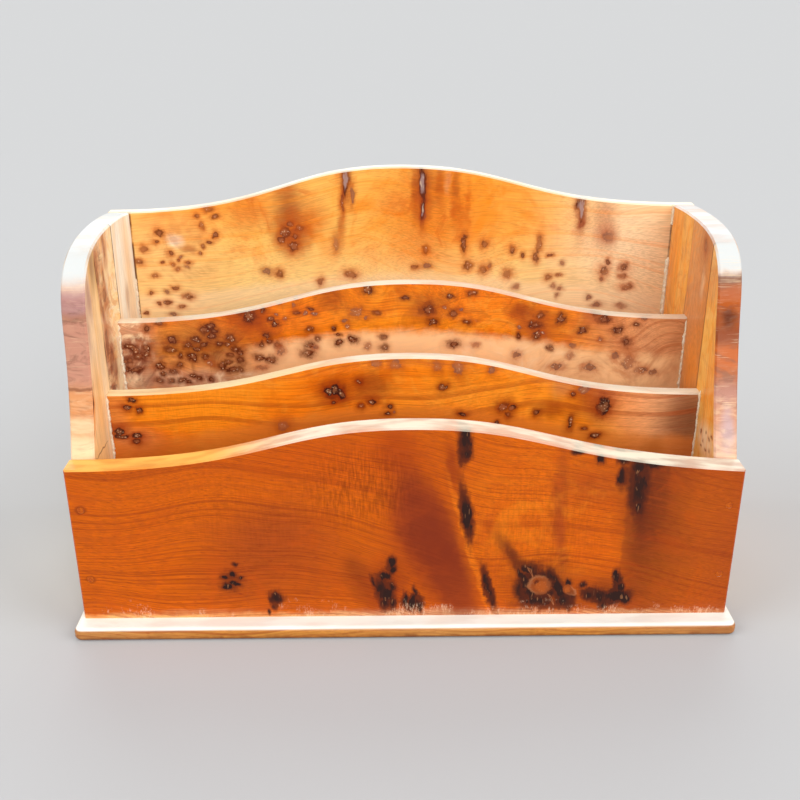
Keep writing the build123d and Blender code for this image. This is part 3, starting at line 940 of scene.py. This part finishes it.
front_divider_figure = dict(
    ground=(orange, flame), grain_turn=(0, -3, 0), wander=0.035, spacing=0.0056,
    shades=[
        ((-98, 97, 36, 14), flame, 0.6), ((-30, 104, 13, 10), copper, 0.7),
        ((-15, 105, 9, 7), russet, 0.75, 0.7), ((-33, 102, 8, 6), russet, 0.5),
        ((30, 100, 46, 7), honey, 0.25, 0.9), ((70.5, 93, 6, 5), russet, 0.7, 0.7),
        ((74, 104, 5, 4), tan, 0.6), ((88, 96, 9, 8), sienna, 0.6),
        # the umber patch at 133 mm is painted shade at the divider's right end, in the corner by
        # the right side
        ((150, 96, 46, 40), tone(0.84, 0.4, 0.18), 0.95, 0.5), ((133, 88, 11, 20), umber, 0.75),
        ((120, 72, 5, 5), char, 0.7), ((-136, 92, 6, 22), tan, 0.5), ((-127, 78, 10, 6), ash, 0.4),
    ],
    burns=[((-32.5, 102.5, 4.6, 4.2), umber, 0.85, 0.4), ((94, 93, 2.6, 4.4), umber, 0.6, 0.5)],
    threads=0.25,
    mottle=[(30, rust, 0.35), (60, honey, 0.25)],
    curl=[((-100, 98, 36, 16), 0.25)],
    # the band is painted light low in the slot, where the board in front shades it
    band=(0.079, 0.096, tone(0.66, 0.18, 0.025), 0.65),
    pale_left=(tone(0.93, 0.77, 0.46), -60, -20),
    marks=[
        (front_divider_eyes, dict(eyes, dark=(char, 0.9), halo=(russet, 0.45))),
        (front_divider_dim, faint_eyes),
    ],
)
dress_board("front_divider", front_divider_figure)

# %% Rear divider
rear_divider_eyes = [
    (-125.5, 123, 1.5, 1.5), (-119.5, 125.5, 2.2, 1), (-127, 113, 2, 1.6), (-133, 112, 2.5, 2),
    (-131, 109, 3, 2), (-138, 106, 1.5, 1.5), (-138, 102, 1.8, 1.5), (-134, 100.5, 2.4, 1.3),
    (-113.5, 117, 2.2, 1.8), (-115, 112, 2.4, 1.6), (-110.5, 109, 1.4, 1.4), (-106, 114, 1.8, 1.8),
    (-102.5, 117, 2, 1.8), (-97, 122, 2.6, 2), (-93, 121, 1.8, 1.5), (-94, 118.5, 2.2, 1.6),
    (-91, 115, 1.8, 1.3), (-87, 114.5, 1.2, 1), (-85, 118, 2, 1.8), (-99, 114, 2.2, 1.4),
    (-102, 112, 2, 1.2), (-104, 108, 2.4, 1.8), (-97.5, 108, 1.8, 1.4), (-121, 103, 2, 2),
    (-115, 100.5, 2, 1.5), (-110.5, 104, 1.8, 1.3), (-83, 112, 2, 1.6), (-80.5, 110, 1.6, 1.4),
    (-86, 108.5, 1.8, 1), (-81, 106, 2, 1.8), (-85, 101, 2.6, 1.2), (-81, 101.5, 1.6, 1.4),
    (-68.5, 132, 1.2, 1.2), (-78, 132, 2.5, 1.8), (-75, 128.5, 2.5, 3), (-65, 127.5, 1.3, 1.1),
    (-62.5, 125, 1.8, 1.5), (-52, 131, 1.4, 0.9), (-45, 133, 1.2, 0.8), (-46.5, 121.5, 1.8, 1.3),
    (-42, 117, 1.4, 1.4), (-46, 114, 2, 1.5), (-47, 110, 2.8, 2), (-34, 122.5, 1.2, 1),
    (-32, 119, 1.3, 0.8), (-32, 115, 1.8, 1.5), (-25, 116.5, 1.8, 1.6), (-17.5, 142, 2.4, 2),
    (-13, 130, 1.8, 1.1), (-9.5, 118, 1.5, 1), (-9.5, 113, 1.8, 1.6), (-67, 119, 2, 1.8),
    (-66, 115.5, 1.4, 1.2), (-62, 114, 1.6, 1.3), (-66, 106.5, 2.6, 1.6), (-71, 107.5, 2, 1.4),
    (1.5, 138, 1.8, 1.1), (22, 138.5, 1.8, 1.1), (33.5, 140, 1.6, 1.2), (12, 132, 2.8, 2.6),
    (14.5, 125.5, 2.2, 1.6), (24.5, 130, 1.5, 1.8), (31.5, 125, 1.8, 1.2), (25, 114, 2.4, 1.6),
    (67.5, 128.5, 1.8, 1.5), (65, 123.5, 3, 1.6), (66, 118.5, 1.6, 2), (57, 118, 1.2, 1.2),
    (77.5, 127, 1.8, 2.4), (88.5, 121, 2.2, 1.5), (95, 129.5, 2.2, 1.3), (99, 126.5, 2.5, 1.8),
    (106, 120.5, 2.2, 2), (115, 123.5, 1.6, 1), (111, 114.5, 1.8, 2), (72.5, 111.5, 1.2, 1),
    (-94.5, 124.2, 1.8, 1.6), (-119.4, 99, 1.6, 1.2), (-121.8, 95.7, 2, 1.2), (-116, 95.6, 1.4, 1),
    (-111.3, 95.8, 1.8, 1.1), (-105.4, 98, 1.8, 1), (-108, 94.4, 1.6, 0.9), (-101.8, 96.6, 1.4, 1),
    (-96.6, 96.6, 1.6, 1.2), (-89.8, 103.3, 1.8, 1.6), (-86.6, 105, 1.6, 1.2),
    (-70.3, 114.3, 1.6, 1.2), (-135.1, 113.6, 2.6, 1.4), (-135.8, 106.5, 1.6, 1.4),
    (-131.7, 101.4, 1.8, 1.2), (-127.7, 110.3, 1.4, 1.2),
]
rear_divider_dim = [
    (-60, 136, 1.6, 0.9), (-62, 130, 1.1, 0.9), (-58, 127, 0.9, 0.9), (-53, 134, 1.1, 1.1),
    (-52, 138, 1.1, 0.9), (-48, 130.5, 1.2, 1), (-43.5, 130, 1.2, 1.1), (-28, 126, 1.3, 1.1),
    (-26.5, 124, 1.3, 1.1), (-22.5, 131, 3, 2.5), (-18, 128, 1.1, 0.9), (-18, 113, 1.4, 1.6),
    (-43, 112, 1.2, 1), (-60.5, 111, 1.8, 1.6), (-71, 102, 2.5, 1), (20.5, 133.5, 1.1, 1),
    (28, 131.5, 1.1, 0.9), (35.5, 113, 1.6, 1.2), (57, 122, 1.1, 0.9), (69, 119.5, 1.3, 0.9),
    (119, 127, 1.8, 0.9), (97.5, 116, 1.1, 1.1), (83.5, 112.5, 1.4, 1), (83, 107.5, 1.6, 1.6),
    (56, 108, 1.8, 1.8), (76.5, 101.5, 3, 1.6), (93, 101, 3, 2), (119, 99, 3, 1.6),
    (125, 98, 2, 1.5), (105.5, 107, 2, 2), (112.5, 104, 3, 3), (-96, 104.5, 1.6, 1.2),
]
rear_divider_figure = dict(
    ground=(tone(0.9, 0.19, 0.006), flame), wander=0.045, wander_scale=14, spacing=0.0048,
    line_depth=0.4, threads=0.22,
    mottle=[(26, rust, 0.5), (55, honey, 0.35), (90, russet, 0.35)],
    stains=[
        (60, umber, 0.5, (-104, 110, 26, 12)), (48, cream, 0.9, (-108, 96, 50, 5)),
        (48, cream, 0.8, (-134, 112, 10, 20)), (70, slate, 0.8, (-130, 106, 14, 14)),
        (60, russet, 0.45, (-84, 122, 26, 10)), (50, cream, 0.4, (50, 106, 40, 8)),
        (30, tan, 0.55, (122, 106, 30, 16)), (70, blush, 0.5, (100, 102, 50, 10)),
    ],
    shades=[
        ((-103, 113, 24, 14), tone(0.74, 0.28, 0.045), 0.8, 0.6),
        ((-136, 116, 12, 28), tone(0.58, 0.34, 0.21), 0.8, 0.7),
        ((-106, 96, 46, 5), tone(0.46, 0.28, 0.19), 0.75, 0.7), ((-82, 101, 6, 6), straw, 0.5),
        ((-76, 126, 10, 10, 20), garnet, 0.5), ((-60, 124, 26, 12), orange, 0.5),
        ((-35, 138, 7, 6), russet, 0.6), ((-75, 129, 8, 7), russet, 0.6),
        ((-8, 126, 26, 10), flame, 0.35, 0.9), ((12, 132, 9, 8), russet, 0.5, 0.9),
        ((57.5, 131, 6, 4), russet, 0.75), ((66, 122, 10, 9), sienna, 0.7, 0.9),
        ((97, 127, 9, 6), sienna, 0.5, 0.9), ((138, 112, 38, 34), tone(0.8, 0.4, 0.18), 0.9, 0.7),
        ((134, 114, 24, 22), tan, 0.3, 0.9), ((-132, 108, 10, 8), umber, 0.5, 0.9),
        ((-97, 114, 17, 9), umber, 0.45, 0.9), ((-85, 106, 10, 8), umber, 0.3, 0.9),
        ((-65, 112, 9, 8), russet, 0.5, 0.9), ((-45, 114, 7, 8), russet, 0.45, 0.9),
    ],
    # the band is painted light low in the slot, where the board in front shades it
    band=(0.108, 0.122, tone(0.96, 0.61, 0.3), 0.8, -84, -62),
    marks=[
        (
            rear_divider_eyes,
            dict(eyes, ragged=2.1, halo=(sienna, 0.4), rim=(umber, 0.55), fleck=(cream, 0.42)),
        ),
        (rear_divider_dim, dict(faint_eyes, ragged=2.1, dark=(slate, 0.8), fleck=(cream, 0.45))),
    ],
)
dress_board("rear_divider", rear_divider_figure)

# %% [markdown]
# ## The back panel
#
# The tallest board catches the most light and has the palest wood, honey at the top and straw lower
# down and to the right. Eyes crowd its left end, one large knot sits left of the middle, and grey
# streaks with red stripes run down from the crest.

# %% Back panel
back_eyes = [
    (-133.5, 152, 1.8, 1.6), (-137, 145, 2, 1.4), (-124.5, 160, 2, 1.8), (-127, 155, 1, 1),
    (-120, 149, 1.3, 1.2), (-125, 144.5, 1.1, 0.9), (-116, 146, 1.1, 0.9),
    (-119.5, 143.5, 0.9, 0.9), (-117.5, 141, 1.4, 1), (-111, 144.5, 1.2, 0.9),
    (-129.5, 137, 1.8, 1), (-119.5, 130.5, 1.6, 1.1), (-132.5, 128.5, 1.3, 1),
    (-113, 126, 2.4, 1.3), (-128, 122, 1.3, 1), (-124, 122.5, 1.6, 1.4), (-116.5, 120, 1.8, 0.9),
    (-136.5, 117, 1.3, 1), (-104.5, 149.5, 1.4, 1), (-102.5, 153, 1.1, 1.1), (-99, 155, 2, 1),
    (-96, 159, 1.6, 1.8), (-103, 164, 1.4, 1.8), (-105, 169, 1.4, 1.2), (-95.5, 168.5, 1.8, 1.3),
    (-99, 172.5, 2.5, 1.5), (-60, 160, 2.8, 2.8), (-53, 162.5, 2.4, 1.7), (-62, 155.5, 1.8, 2),
    (-57.5, 164.5, 1.6, 1.5), (-56, 153, 2.8, 2.6), (-55, 158, 1.7, 1.7), (-64.5, 138.5, 2, 2),
    (-43, 134, 1.6, 2.2), (-27, 138, 2.6, 1.8), (-30, 175, 0.9, 4.5), (10.3, 174, 1.6, 4.5),
    (32.5, 154, 1.4, 4.5), (34.5, 142.5, 2, 2), (43, 153, 1.8, 2), (12.5, 150.5, 1.5, 2),
    (7, 141, 1.6, 1.6), (42, 140, 2.2, 2), (55.5, 137.5, 1.8, 2.2), (57, 150, 1.4, 2),
    (62.5, 147.5, 1.2, 1.5), (70, 146.5, 1.6, 2.6), (71.5, 153, 1.3, 4), (77.5, 147, 1.6, 1),
    (77, 135.5, 1.6, 1.5), (82, 136.5, 1.6, 1), (106, 139, 2.2, 2.5), (108, 144, 1.2, 1.4),
    (116.5, 140.5, 2.2, 2), (116.5, 135.5, 1.7, 1.3), (118.5, 130, 2.5, 1.4),
]
back_streaks = [(-28.5, 186, 1.5, 7), (10.5, 185, 2, 9), (91.8, 172, 1.8, 8), (10.3, 171, 1.2, 5)]
back_dim = [
    (-25, 179, 0.9, 4), (-34, 154, 1.5, 3.5), (11, 168, 1.4, 1.8), (92.5, 163, 1.5, 2),
    (107, 157, 2.5, 3), (-71, 139.5, 2, 1.5), (13, 142, 2, 1.5), (46, 142, 1.1, 1.1),
    (60, 130, 1.3, 1), (80, 130.5, 1.3, 0.9), (83.5, 129.5, 1.3, 0.9), (82, 126, 1, 1.2),
    (84, 143, 1, 1), (99, 124.5, 1.5, 1.1), (105, 134, 1, 1), (104, 120.5, 2, 1),
    (116, 119.5, 2, 1), (-124.5, 128.5, 1.1, 0.8), (-122, 116, 1.8, 0.9), (-112, 142, 1, 0.9),
    (-114.5, 147.5, 0.9, 0.9),
]
back_figure = dict(
    ground=(honey, apricot), wander=0.05, wander_scale=8, spacing=0.006, line_depth=0.3,
    line_tone=flame, threads=0.1,
    mottle=[(20, flame, 0.65), (38, orange, 0.45)],
    stains=[
        (40, rust, 0.6, (-62, 170, 26, 16)), (50, rust, 0.5, (20, 172, 30, 22)),
        (45, sienna, 0.35, (-112, 150, 24, 18)),
    ],
    shades=[
        ((0, 116, 160, 28), tone(1, 0.74, 0.29), 0.97, 0.7), ((-130, 135, 30, 40), straw, 0.75),
        ((128, 140, 42, 60), cream, 0.9), ((60, 125, 60, 16), straw, 0.5),
        ((25, 175, 44, 24), flame, 0.7, 0.9), ((-90, 176, 34, 10, -12), flame, 0.5, 0.9),
        ((-57, 166, 9, 17), garnet, 0.55), ((-58, 172, 5, 12), russet, 0.55, 0.9),
        ((-45, 167, 7, 9), copper, 0.6, 0.9), ((-78, 170, 9, 9), copper, 0.6, 0.9),
        ((-57, 158, 8, 8), russet, 0.7), ((-31, 165, 2, 10), sienna, 0.6, 0.9),
        ((6.5, 180, 2, 13), russet, 0.75), ((14, 182, 2, 12), russet, 0.5),
        ((19, 184, 2.6, 11), garnet, 0.7), ((27, 180, 2, 13), garnet, 0.65),
        ((34, 176, 1.6, 9), copper, 0.6, 0.9), ((23, 186, 1.4, 6), blush, 0.7),
        ((30, 168, 3.4, 10), copper, 0.6, 0.9), ((12, 168, 16, 22), copper, 0.45, 0.9),
        ((104, 165, 6, 13), sienna, 0.5, 0.9), ((-110.5, 152, 3, 2), sienna, 0.6),
        ((-117, 156, 4, 3), ivory, 0.55),
    ],
    # the band is painted light low in the slot, where the rear divider shades it
    band=(0.128, 0.139, cream, 0.4),
    joints=[("X", -139.3, 1, 0.85), ("X", 139.3, 0.8, 0.8)],
    marks=[
        (back_eyes, dict(eyes, dark=(umber, 0.8), rim=(sienna, 0.5), halo=(copper, 0.35))),
        (back_dim, faint_eyes), (back_streaks, grey_streaks),
    ],
)
dress_board("back_panel", back_figure)

# %% [markdown]
# ## The sides
#
# Each side is glued up from three upright strips, and each strip has its own tone and figure: plain
# wood in front, blotched burl in the middle and pale sapwood behind on the left side, and redder
# wood throughout on the right side. Marks on a side are placed by their depth and height. The
# narrow front edges have seen the most handling, and carry bands of tone up their height: white
# over the shoulder, which is a painted highlight of the light from above together with wear, then
# pink and mauve bands that stand partly for painted sheen fading down the curve and partly for
# stains, then stained, scratched wood.

# %% Left side
WIDE = 60  # half the width of a band that goes right across an edge


def side_joints(*shares):
    """A dark line at each of a side's strip joints, with a share each."""
    return [("Y", depth, 0.9, share) for depth, share in zip(STRIP_JOINTS, shares)]


left_bands = [
    ((-EDGE, 100, WIDE, 60), blush, 0.9, 0.1),
    ((-EDGE, 130, WIDE, 17), tone(0.52, 0.24, 0.17), 0.9, 0.3),
    ((-EDGE, 146, WIDE, 3), umber, 0.35), ((-EDGE, 151, WIDE, 5), mauve, 0.85, 0.5),
    ((-EDGE, 103, WIDE, 9), blush, 0.7, 0.5), ((-EDGE, 97, WIDE, 3), cream, 0.55, 0.9),
    ((-EDGE, 113, WIDE, 0.8), umber, 0.55, 0.7), ((-EDGE, 87, WIDE, 5), cream, 0.8, 0.7),
    # The last band is painted highlight with wear: white over the shoulder, where the edge turns up
    # to the light
    ((-EDGE, 189, WIDE, 31), highlight_and_wear_white, 0.97, 0.2),
]
left_blotches = [
    (8, 166, 1.5, 5), (-7, 163, 2.5, 3.5), (-8, 156, 2.2, 4), (2, 154, 1.2, 3),
    (-6, 140, 1.6, 6, -8), (1, 145, 2.5, 4), (-5, 123, 2.5, 7, 6), (0, 113, 3, 5, 10),
    (4, 107, 2.5, 4), (-3, 99, 2, 3),
]
left_front = dict(
    ground=(straw, cream), side_face=True, wander=0.012, spacing=0.0075, line_depth=0.35,
    line_tone=apricot, threads=0.12, thread_tone=tan,
    shades=[
        ((-13, 162, 5, 10), slate, 0.75), ((-24, 152, 5, 10), mauve, 0.7),
        ((-31, 138, 3.5, 10), mauve, 0.55), ((-37, 122, 2.5, 12), tan, 0.5),
        ((-12, 120, 3, 40), cream, 0.5), ((-28, 105, 7, 14), honey, 0.4, 0.9),
        ((-37.6, 100.4, 1.6, 12, 21), flame, 0.6, 0.6),
        ((-38.9, 100.4, 1, 13.5, 21), umber, 0.97, 0.4), ((-33, 81, 10, 0.5, 0), umber, 0.7, 0.5),
    ],
    # the upward faces take the same painted highlight with wear
    joints=side_joints(0.85, 0.8, 0.9), edge_bands=left_bands, pale=highlight_and_wear_white,
)
left_middle = dict(
    left_front,
    ground=(cream, tone(0.96, 0.74, 0.4)), wander=0.05, wander_scale=22, line_depth=0.5,
    line_tone=blush,
    mottle=[(45, honey, 0.6), (80, ivory, 0.5)],
    stains=[(80, slate, 0.35, (-3, 156, 8, 14)), (75, slate, 0.35, (-1, 110, 9, 24))],
    blotches=[
        (60, tone(0.96, 0.8, 0.46), 0.7), (110, slate, 0.85, (-5, 158, 7, 13)),
        (95, tan, 0.7, (1, 138, 8, 14)), (105, slate, 0.9, (-2, 108, 8, 20)),
    ],
    shades=[
        ((0, 160, 12, 14), blush, 0.3, 0.9), ((-3, 118, 8, 22), blush, 0.35, 0.9),
        ((5, 148, 2, 5), ivory, 0.5),
    ],
    marks=[
        (left_blotches, dict(faint_eyes, stretch=(1, 1, 0.4), dark=(slate, 0.7), halo=(tan, 0.5))),
    ],
)
left_rear = dict(
    left_front,
    ground=(cream, ivory), line_depth=0.25,
    shades=[
        ((40, 132, 3, 6), ash, 0.6, 0.9), ((48, 150, 5, 30), straw, 0.5, 0.9),
        ((57.5, 130, 3, 18), ivory, 0.8, 0.6),
    ],
)
for strip, figure in (("front", left_front), ("middle", left_middle), ("rear", left_rear)):
    dress_board("left_side_" + strip, figure)

# %% Right side
right_bands = [
    ((EDGE, 100, WIDE, 60), tone(0.34, 0.1, 0.03), 0.95, 0.1),
    ((EDGE, 124, WIDE, 9), copper, 0.6, 0.7), ((EDGE, 133.5, WIDE, 4), umber, 0.6),
    ((EDGE, 144, WIDE, 11), sienna, 0.55, 0.7), ((EDGE, 141, 3, 4), umber, 0.9),
    ((EDGE, 149, WIDE, 4), copper, 0.35), ((EDGE, 157.5, WIDE, 2.2), slate, 0.8, 0.6),
    ((EDGE, 103, WIDE, 9), mauve, 0.75, 0.7), ((EDGE, 95, WIDE, 12), blush, 0.6),
    ((EDGE, 86, WIDE, 8), tone(0.8, 0.52, 0.4), 0.6),
    ((145.5, 93, 2.6, 9), tone(0.5, 0.38, 0.42), 0.65),
    # The last band is painted highlight with wear: white over the shoulder, where the edge turns up
    # to the light
    ((EDGE, 191, WIDE, 31), highlight_and_wear_white, 0.97, 0.08),
]
right_specks = [
    (-36, 86, 1.2, 0.8), (-28, 82, 0.8, 0.8), (-33, 79, 1, 0.6), (-39, 88, 0.8, 0.6),
    (-24, 84, 0.7, 0.9), (-31, 87, 0.6, 0.6), (-26, 78, 0.9, 0.5), (-38, 81, 0.7, 0.8),
]
right_front = dict(
    ground=(apricot, straw), side_face=True, wander=0.014, spacing=0.0075, line_depth=0.4,
    line_tone=flame, threads=0.12, thread_tone=sienna,
    mottle=[(30, honey, 0.5), (70, flame, 0.5), (50, tan, 0.3)],
    shades=[
        ((-16, 154, 8, 10), blush, 0.6, 0.9), ((-30, 112, 8, 20), flame, 0.5, 0.9),
        ((-31, 83, 11, 7), cream, 0.75, 0.6),
    ],
    marks=[(right_specks, dict(faint_eyes, ragged=2.2, dark=(umber, 0.8), halo=(tan, 0.2)))],
    # the upward faces take the same painted highlight with wear
    joints=side_joints(0.6, 0.45, 0.9), edge_bands=right_bands, pale=highlight_and_wear_white,
)
right_middle = dict(
    right_front,
    ground=(tone(0.66, 0.24, 0.06), tone(0.74, 0.34, 0.12)), wander=0.03, line_tone=tan,
    mottle=[(40, tan, 0.4), (60, flame, 0.45)],
    shades=[
        ((2, 167, 8, 10), tan, 0.7, 0.9), ((0, 149, 2, 6), cream, 0.6, 0.9),
        ((8, 140, 9, 22), blush, 0.5, 0.9), ((2, 108, 9, 14), flame, 0.55, 0.9),
    ],
    marks=[([(1.5, 167, 1.4, 3)], faint_eyes)],
)
right_rear = dict(
    right_front,
    ground=(tone(0.84, 0.38, 0.12), tone(0.94, 0.46, 0.1)),
    shades=[((48, 150, 6, 30), flame, 0.5, 0.9)],
    marks=[],
)
for strip, figure in (("front", right_front), ("middle", right_middle), ("rear", right_rear)):
    dress_board("right_side_" + strip, figure)

# %% [markdown]
# ## The base board
#
# The base is plainer wood with a rounded nose. Its upper face is pale cream, partly wear and partly
# a painted highlight of the light from above, and the nose is golden brown with a darker lower
# half, a painted shadow where it meets the table.

# %% Base board
base_figure = dict(
    ground=(tone(0.39, 0.145, 0.042), tone(0.51, 0.23, 0.07)), wander=0.03, spacing=0.0045,
    line_depth=0.5, line_tone=russet,
    shades=[
        ((-60, 3, 60, 3), honey, 0.35, 0.9), ((70, 3, 40, 3), honey, 0.35, 0.9),
        # painted shadow: an umber band along the bottom of the nose, where it meets the table
        ((0, 0.2, 200, 1.6), umber, 0.6, 0.7),
    ],
    # the upward faces' cream is a painted highlight together with wear
    pale=bone, patchy=0.15,
)
dress_board("base_board", base_figure)

# %% [markdown]
# ## Pins and filler
#
# The boards are pinned, and the heads are sunk and covered with tinted filler. The pins are drawn
# steel wire, faintly mottled. The filler is duller than wood and mottled as well, and where glue or
# filler has squeezed out along a board's end it has dried to a chalky cream.

# %% Steel and filler materials
def plain_material(name, first, second, scale, roughness, metallic=0.0):
    """Two tones mottled together, with roughness that follows them."""
    paint, tree, shader = new_paint(name)
    where = tree.nodes.new("ShaderNodeTexCoord").outputs["Object"]
    mottle = clouds(where, scale, detail=3.0, roughness=0.65)
    color = coat_over(fade(mottle, 0.38, 0.62), first, second)
    wire(color, shader.inputs["Base Color"])
    wire(fade(mottle, *MOST_NOISE, *roughness), shader.inputs["Roughness"])
    relief = {"Height": mottle, "Strength": 0.3, "Distance": 0.0003}
    wire(place("ShaderNodeBump", relief).outputs[0], shader.inputs["Normal"])
    shader.inputs["Specular IOR Level"].default_value = 0.2
    shader.inputs["Metallic"].default_value = metallic
    return paint


steel, pale_steel = tone(0.48, 0.48, 0.49), tone(0.60, 0.60, 0.60)
glue, pale_glue = tone(0.80, 0.58, 0.36), tone(0.86, 0.76, 0.58)
drawn_steel = plain_material("drawn_steel", steel, pale_steel, 2400.0, (0.3, 0.45), metallic=1.0)
tinted_filler = plain_material("tinted_filler", amber, sienna, 1400.0, (0.35, 0.55))
dried_glue = plain_material("dried_glue", glue, pale_glue, 700.0, (0.55, 0.8))
for node_name in nodes:
    if "_pin_" in node_name:
        dress(node_name, drawn_steel)
    elif "_plug_" in node_name:
        dress(node_name, tinted_filler)
print("pins and plugs dressed")

# %% [markdown]
# ## Beads of dried glue
#
# Where a divider meets a side, glue and filler have been squeezed out and wiped along the corner,
# and have dried as a thin uneven fillet. Each bead starts as a unit cube that is cut into many
# short lengths. Its four long edges then become the corner itself, the two feet on the boards and a
# soft ridge between them, and each ring of points gets its own width from seeded random numbers.

# %% Glue bead function
CUTS = 70  # rings of points between a bead's two ends
BITE = -0.05  # the bead's back lies this far inside the corner, in millimetres
RIDGE = 0.55  # the ridge stands out by this share of the feet's widths
SWAY = 0.12  # the most that a point is moved to and fro, in millimetres
TAPER = 0.25  # an end has this share of a bead's width, and each ring after it has as much more


def glue_bead(name, side, board, heights, widths, seed, even=0.15):
    """A ragged fillet up the corner of a side, -1 for left and 1 for right, and a board's front."""
    shape = bmesh.new()
    bmesh.ops.create_cube(shape, size=1.0)
    upright = [e for e in shape.edges if abs(e.verts[0].co.z - e.verts[1].co.z) > 0.5]
    bmesh.ops.subdivide_edges(shape, edges=upright, cuts=CUTS, use_grid_fill=True)
    dice = random.Random(seed)
    low, high = heights
    last = CUTS + 1
    rough = [[even + (1 - even) * dice.random() for _ in range(2)] for _ in range(last + 3)]
    swell = [[sum(part) / 3 for part in zip(*rough[ring : ring + 3])] for ring in range(last + 1)]
    for vert in shape.verts:
        ring = round((vert.co.z + 0.5) * last)
        taper = min(1.0, TAPER * (1 + min(ring, last - ring)))
        out_x, out_y = vert.co.x > 0, vert.co.y > 0
        bulge = RIDGE if out_x and out_y else 1.0
        x = widths[0] * swell[ring][0] * taper * bulge if out_x else BITE
        y = widths[1] * swell[ring][1] * taper * bulge if out_y else BITE
        x += SWAY * (dice.random() - 0.5) * out_x
        z = low + (high - low) * (vert.co.z + 0.5)
        vert.co = Vector((side * (INNER_FACE - x), FRONT_FACES[board] - y, z)) * MM
    bmesh.ops.recalc_face_normals(shape, faces=shape.faces)
    for face in shape.faces:
        face.smooth = True
    mesh = bpy.data.meshes.new(name)
    shape.to_mesh(mesh)
    shape.free()
    mesh.materials.append(dried_glue)
    bead = bpy.data.objects.new(name, mesh)
    scene.collection.objects.link(bead)
    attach(bead, "root")
    print(name, len(mesh.polygons), "faces")


# %% Make the beads
glue_bead("glue_bead_front_left", -1, "front_divider", (62, 101), (1.3, 1.7), 11)
glue_bead("glue_bead_front_right", 1, "front_divider", (62, 102), (1.2, 1.5), 12)
glue_bead("glue_bead_rear_left", -1, "rear_divider", (84, 125), (1.7, 2.0), 13)
glue_bead("glue_bead_rear_right", 1, "rear_divider", (84, 125.5), (1.5, 1.4), 14)
glue_bead("filler_wedge_back_right_top", 1, "back_panel", (163, 173.5), (1.2, 2.4), 15, 0.5)
glue_bead("filler_wedge_back_right", 1, "back_panel", (114, 146), (1.9, 2.2), 16, 0.7)
glue_bead("filler_wedge_back_left", -1, "back_panel", (112, 136), (0.8, 2.2), 17)
